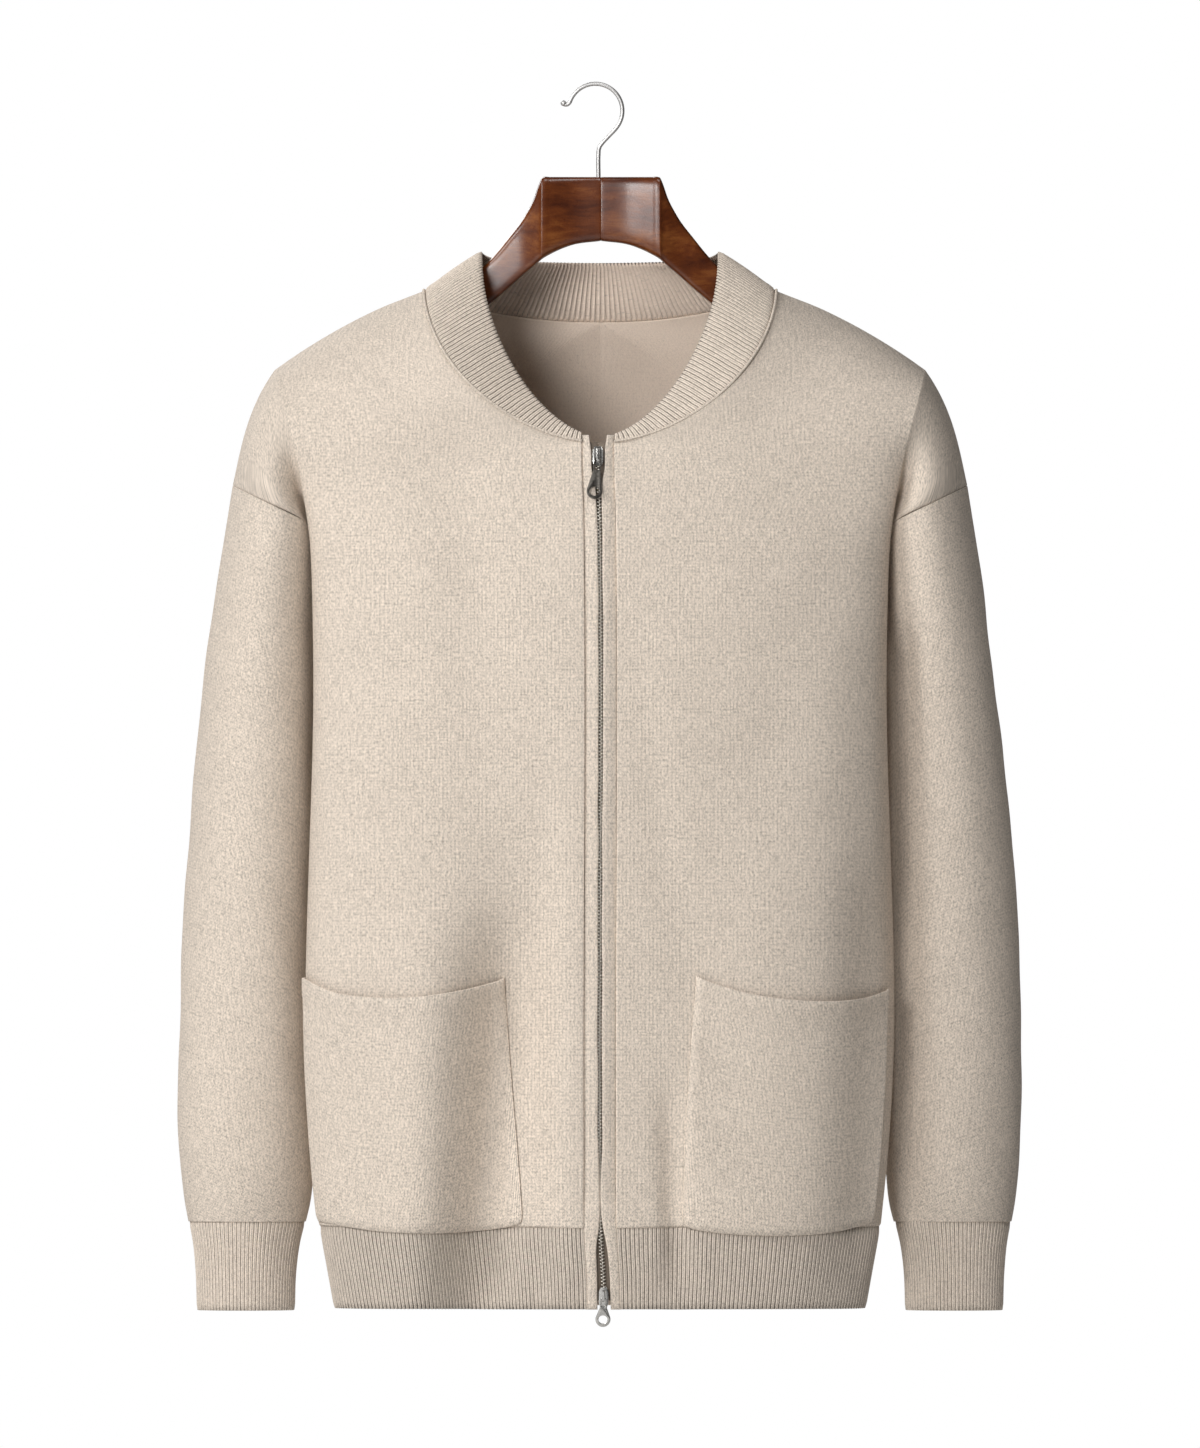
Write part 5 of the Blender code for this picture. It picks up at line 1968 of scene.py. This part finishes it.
@dataclass
class Hanger:
    """The shaped wooden hanger, made of two halves, and its wire hook."""

    finishes: Finishes
    middle: float = 0.6
    seam: float = -0.02
    sides: int = 64
    squareness: float = 7.0
    wire: float = 1.4

    def arm(self, side: Side) -> None:
        """One half: superellipses across the arm, whose size and place follow the table.

        Args:
            side: The half's side.
        """
        near = np.concatenate(([0, 0.25, 0.8], np.linspace(2, 34, 24), np.linspace(34.6, 46, 46)))
        x = np.concatenate((near + self.seam, np.linspace(47, 206, 120), [207.5, 208.5, 209.0]))
        top, low, front, rear = (smooth(ARM, k, x)[:, None] for k in (1, 2, 3, 4))
        turn = 2 * math.pi * (np.arange(self.sides) + 0.5) / self.sides
        c, s = np.cos(turn), np.sin(turn)
        flat = np.sign(c) * np.abs(c) ** (2 / self.squareness)
        tall = np.sign(s) * np.abs(s) ** (2 / self.squareness)
        ease = np.ones(len(x))
        ease[:3] = (0.985, 0.995, 0.999)
        ease[-3:] = (0.97, 0.86, 0.6)
        y = (front + rear) / 2 + (rear - front) / 2 * flat * ease[:, None]
        z = (top + low) / 2 + (top - low) / 2 * tall * ease[:, None]
        rings = stack(side.value * x[:, None] + self.middle, y, z)
        hand_over(sweep(f"hanger_{side.tag}_wood", rings), self.finishes.wood, Slot.WOOD,
                  f"hanger_{side.tag}")

    def hook(self) -> None:
        """The hook: a ball tip, an open bow, a short bend and the stem, one wire all along."""
        turn = np.radians(np.linspace(160, -41.5, 40))
        bow = stack(-3.07 + 18 * np.cos(turn), 0.0, -16.3 + 18 * np.sin(turn))
        lead = [(-23.9, 0, -11.9), (-22.8, 0, -12.2), (-21.6, 0, -11.9), (-20.7, 0, -11.2)]
        tail = [(7.9, 0, -31.0), (4.6, 0, -34.4), (1.6, 0, -37.7), (0.0, 0, -39.9)]
        tail += [(-0.8, 0, -42.0), (-1.0, 0, -45.0), (-1.0, 0, -60.0), (-1.0, 0, -84.0)]
        path = curve_through([*lead, *bow[1:-1], *tail[1:]], 420)
        rings = tube_rings(path, self.wire, 20, (0.0, 1.0, 0.0))
        hand_over(sweep("hook_wire", rings), self.finishes.steel, Slot.STEEL, "hook")
        rise = np.linspace(0, math.pi, 15)
        axis = np.array((0.92, 0.0, -0.39))
        line = np.array((-24.3, 0.0, -11.3)) - np.cos(rise)[:, None] * axis * 1.95
        ball = tube_rings(line, 1.95 * np.sin(rise) + 0.002, 20, (0.0, 1.0, 0.0))
        hand_over(sweep("hook_ball", ball), self.finishes.steel, Slot.STEEL)

    def build(self) -> None:
        """Makes the hanger."""
        for side in Side:
            self.arm(side)
        self.hook()


# ---- the studio ---------------------------------------------------------------------------


@dataclass
class Studio:
    """Camera, soft lights, white surroundings and a pale floor. Metres."""

    distance: float = 24.0
    height: float = -0.4251
    frame_height: float = 0.96533
    sensor: float = 36.0
    floor: float = -1.25
    floor_radius: float = 4.6
    ambient: float = 0.03

    def camera(self) -> None:
        """A long lens straight in front, whose frame is as tall as the photograph's."""
        data = bpy.data.cameras.new("camera")
        data.sensor_width = self.sensor
        data.lens = self.sensor * self.distance / self.frame_height
        data.clip_end = 200.0
        eye = bpy.data.objects.new("camera", data)
        eye.location = (0.0, -self.distance, self.height)
        eye.rotation_euler = (math.pi / 2, 0.0, 0.0)
        bpy.context.scene.collection.objects.link(eye)
        bpy.context.scene.camera = eye

    def lamp(self, name: str, way: tuple, far: float, size: tuple, watts: float) -> None:
        """A soft rectangular light that faces the garment's middle. The camera doesn't see it.

        Args:
            name: The light's name.
            way: Degrees to the viewer's right of the front, and above the level.
            far: Its distance.
            size: Width and height.
            watts: Its power.
        """
        data = bpy.data.lights.new(name, "AREA")
        data.shape = "RECTANGLE"
        data.size, data.size_y = size
        data.energy = watts
        turn, rise = (math.radians(v) for v in way)
        level = far * math.cos(rise)
        off = Vector((level * math.sin(turn), -level * math.cos(turn), far * math.sin(rise)))
        lamp = bpy.data.objects.new(name, data)
        lamp.location = off + Vector((0, 0, self.height))
        lamp.rotation_euler = (-off).to_track_quat("-Z", "Y").to_euler()
        lamp.visible_camera = False
        bpy.context.scene.collection.objects.link(lamp)

    def surroundings(self) -> None:
        """White all round for the eye, and a dimmer white that lights the object."""
        world = bpy.data.worlds.new("studio white")
        world.use_nodes = True
        tree = world.node_tree
        tree.nodes.clear()
        ray, mix = tree.nodes.new("ShaderNodeLightPath"), tree.nodes.new("ShaderNodeMixShader")
        out = tree.nodes.new("ShaderNodeOutputWorld")
        tree.links.new(ray.outputs["Is Camera Ray"], mix.inputs[0])
        for socket, strength in ((1, self.ambient), (2, 1.0)):
            white = tree.nodes.new("ShaderNodeBackground")
            white.inputs["Color"].default_value = (1, 1, 1, 1)
            white.inputs["Strength"].default_value = strength
            tree.links.new(white.outputs[0], mix.inputs[socket])
        tree.links.new(mix.outputs[0], out.inputs[0])
        bpy.context.scene.world = world

    def floor_disc(self) -> None:
        """A round floor: a closed thin disc."""
        turn = np.arange(96) * 2 * math.pi / 96
        ring = stack(np.cos(turn), np.sin(turn), 0.0) * (self.floor_radius / MM)
        rings = np.stack((ring + (0, 0, self.floor / MM), ring + (0, 0, self.floor / MM - 20)))
        disc = sweep("pale_floor", rings)
        disc.data.materials.append(StageFinish().material())
        for face in disc.data.polygons:
            face.use_smooth = False

    def build(self) -> None:
        """Sets the studio up."""
        self.camera()
        self.surroundings()
        self.floor_disc()
        self.lamp("key", (-57, 30), 5.0, (1.4, 1.6), 112)
        self.lamp("front", (-22, 14), 5.0, (1.6, 1.6), 136)
        self.lamp("top", (24, 60), 3.6, (1.2, 1.2), 36)
        self.lamp("back", (-155, 30), 3.4, (2.0, 2.0), 60)
        bpy.context.scene.view_settings.view_transform = "Standard"


def main() -> None:
    """Builds the studio and each sub-assembly."""
    logging.basicConfig(level=logging.INFO, format="%(name)s: %(message)s")
    Studio().build()
    form, finishes = Form(), Finishes.make()
    Garment(form, finishes).build()
    Zip(finishes, form).build()
    Hanger(finishes).build()


if __name__ == "__main__":
    main()
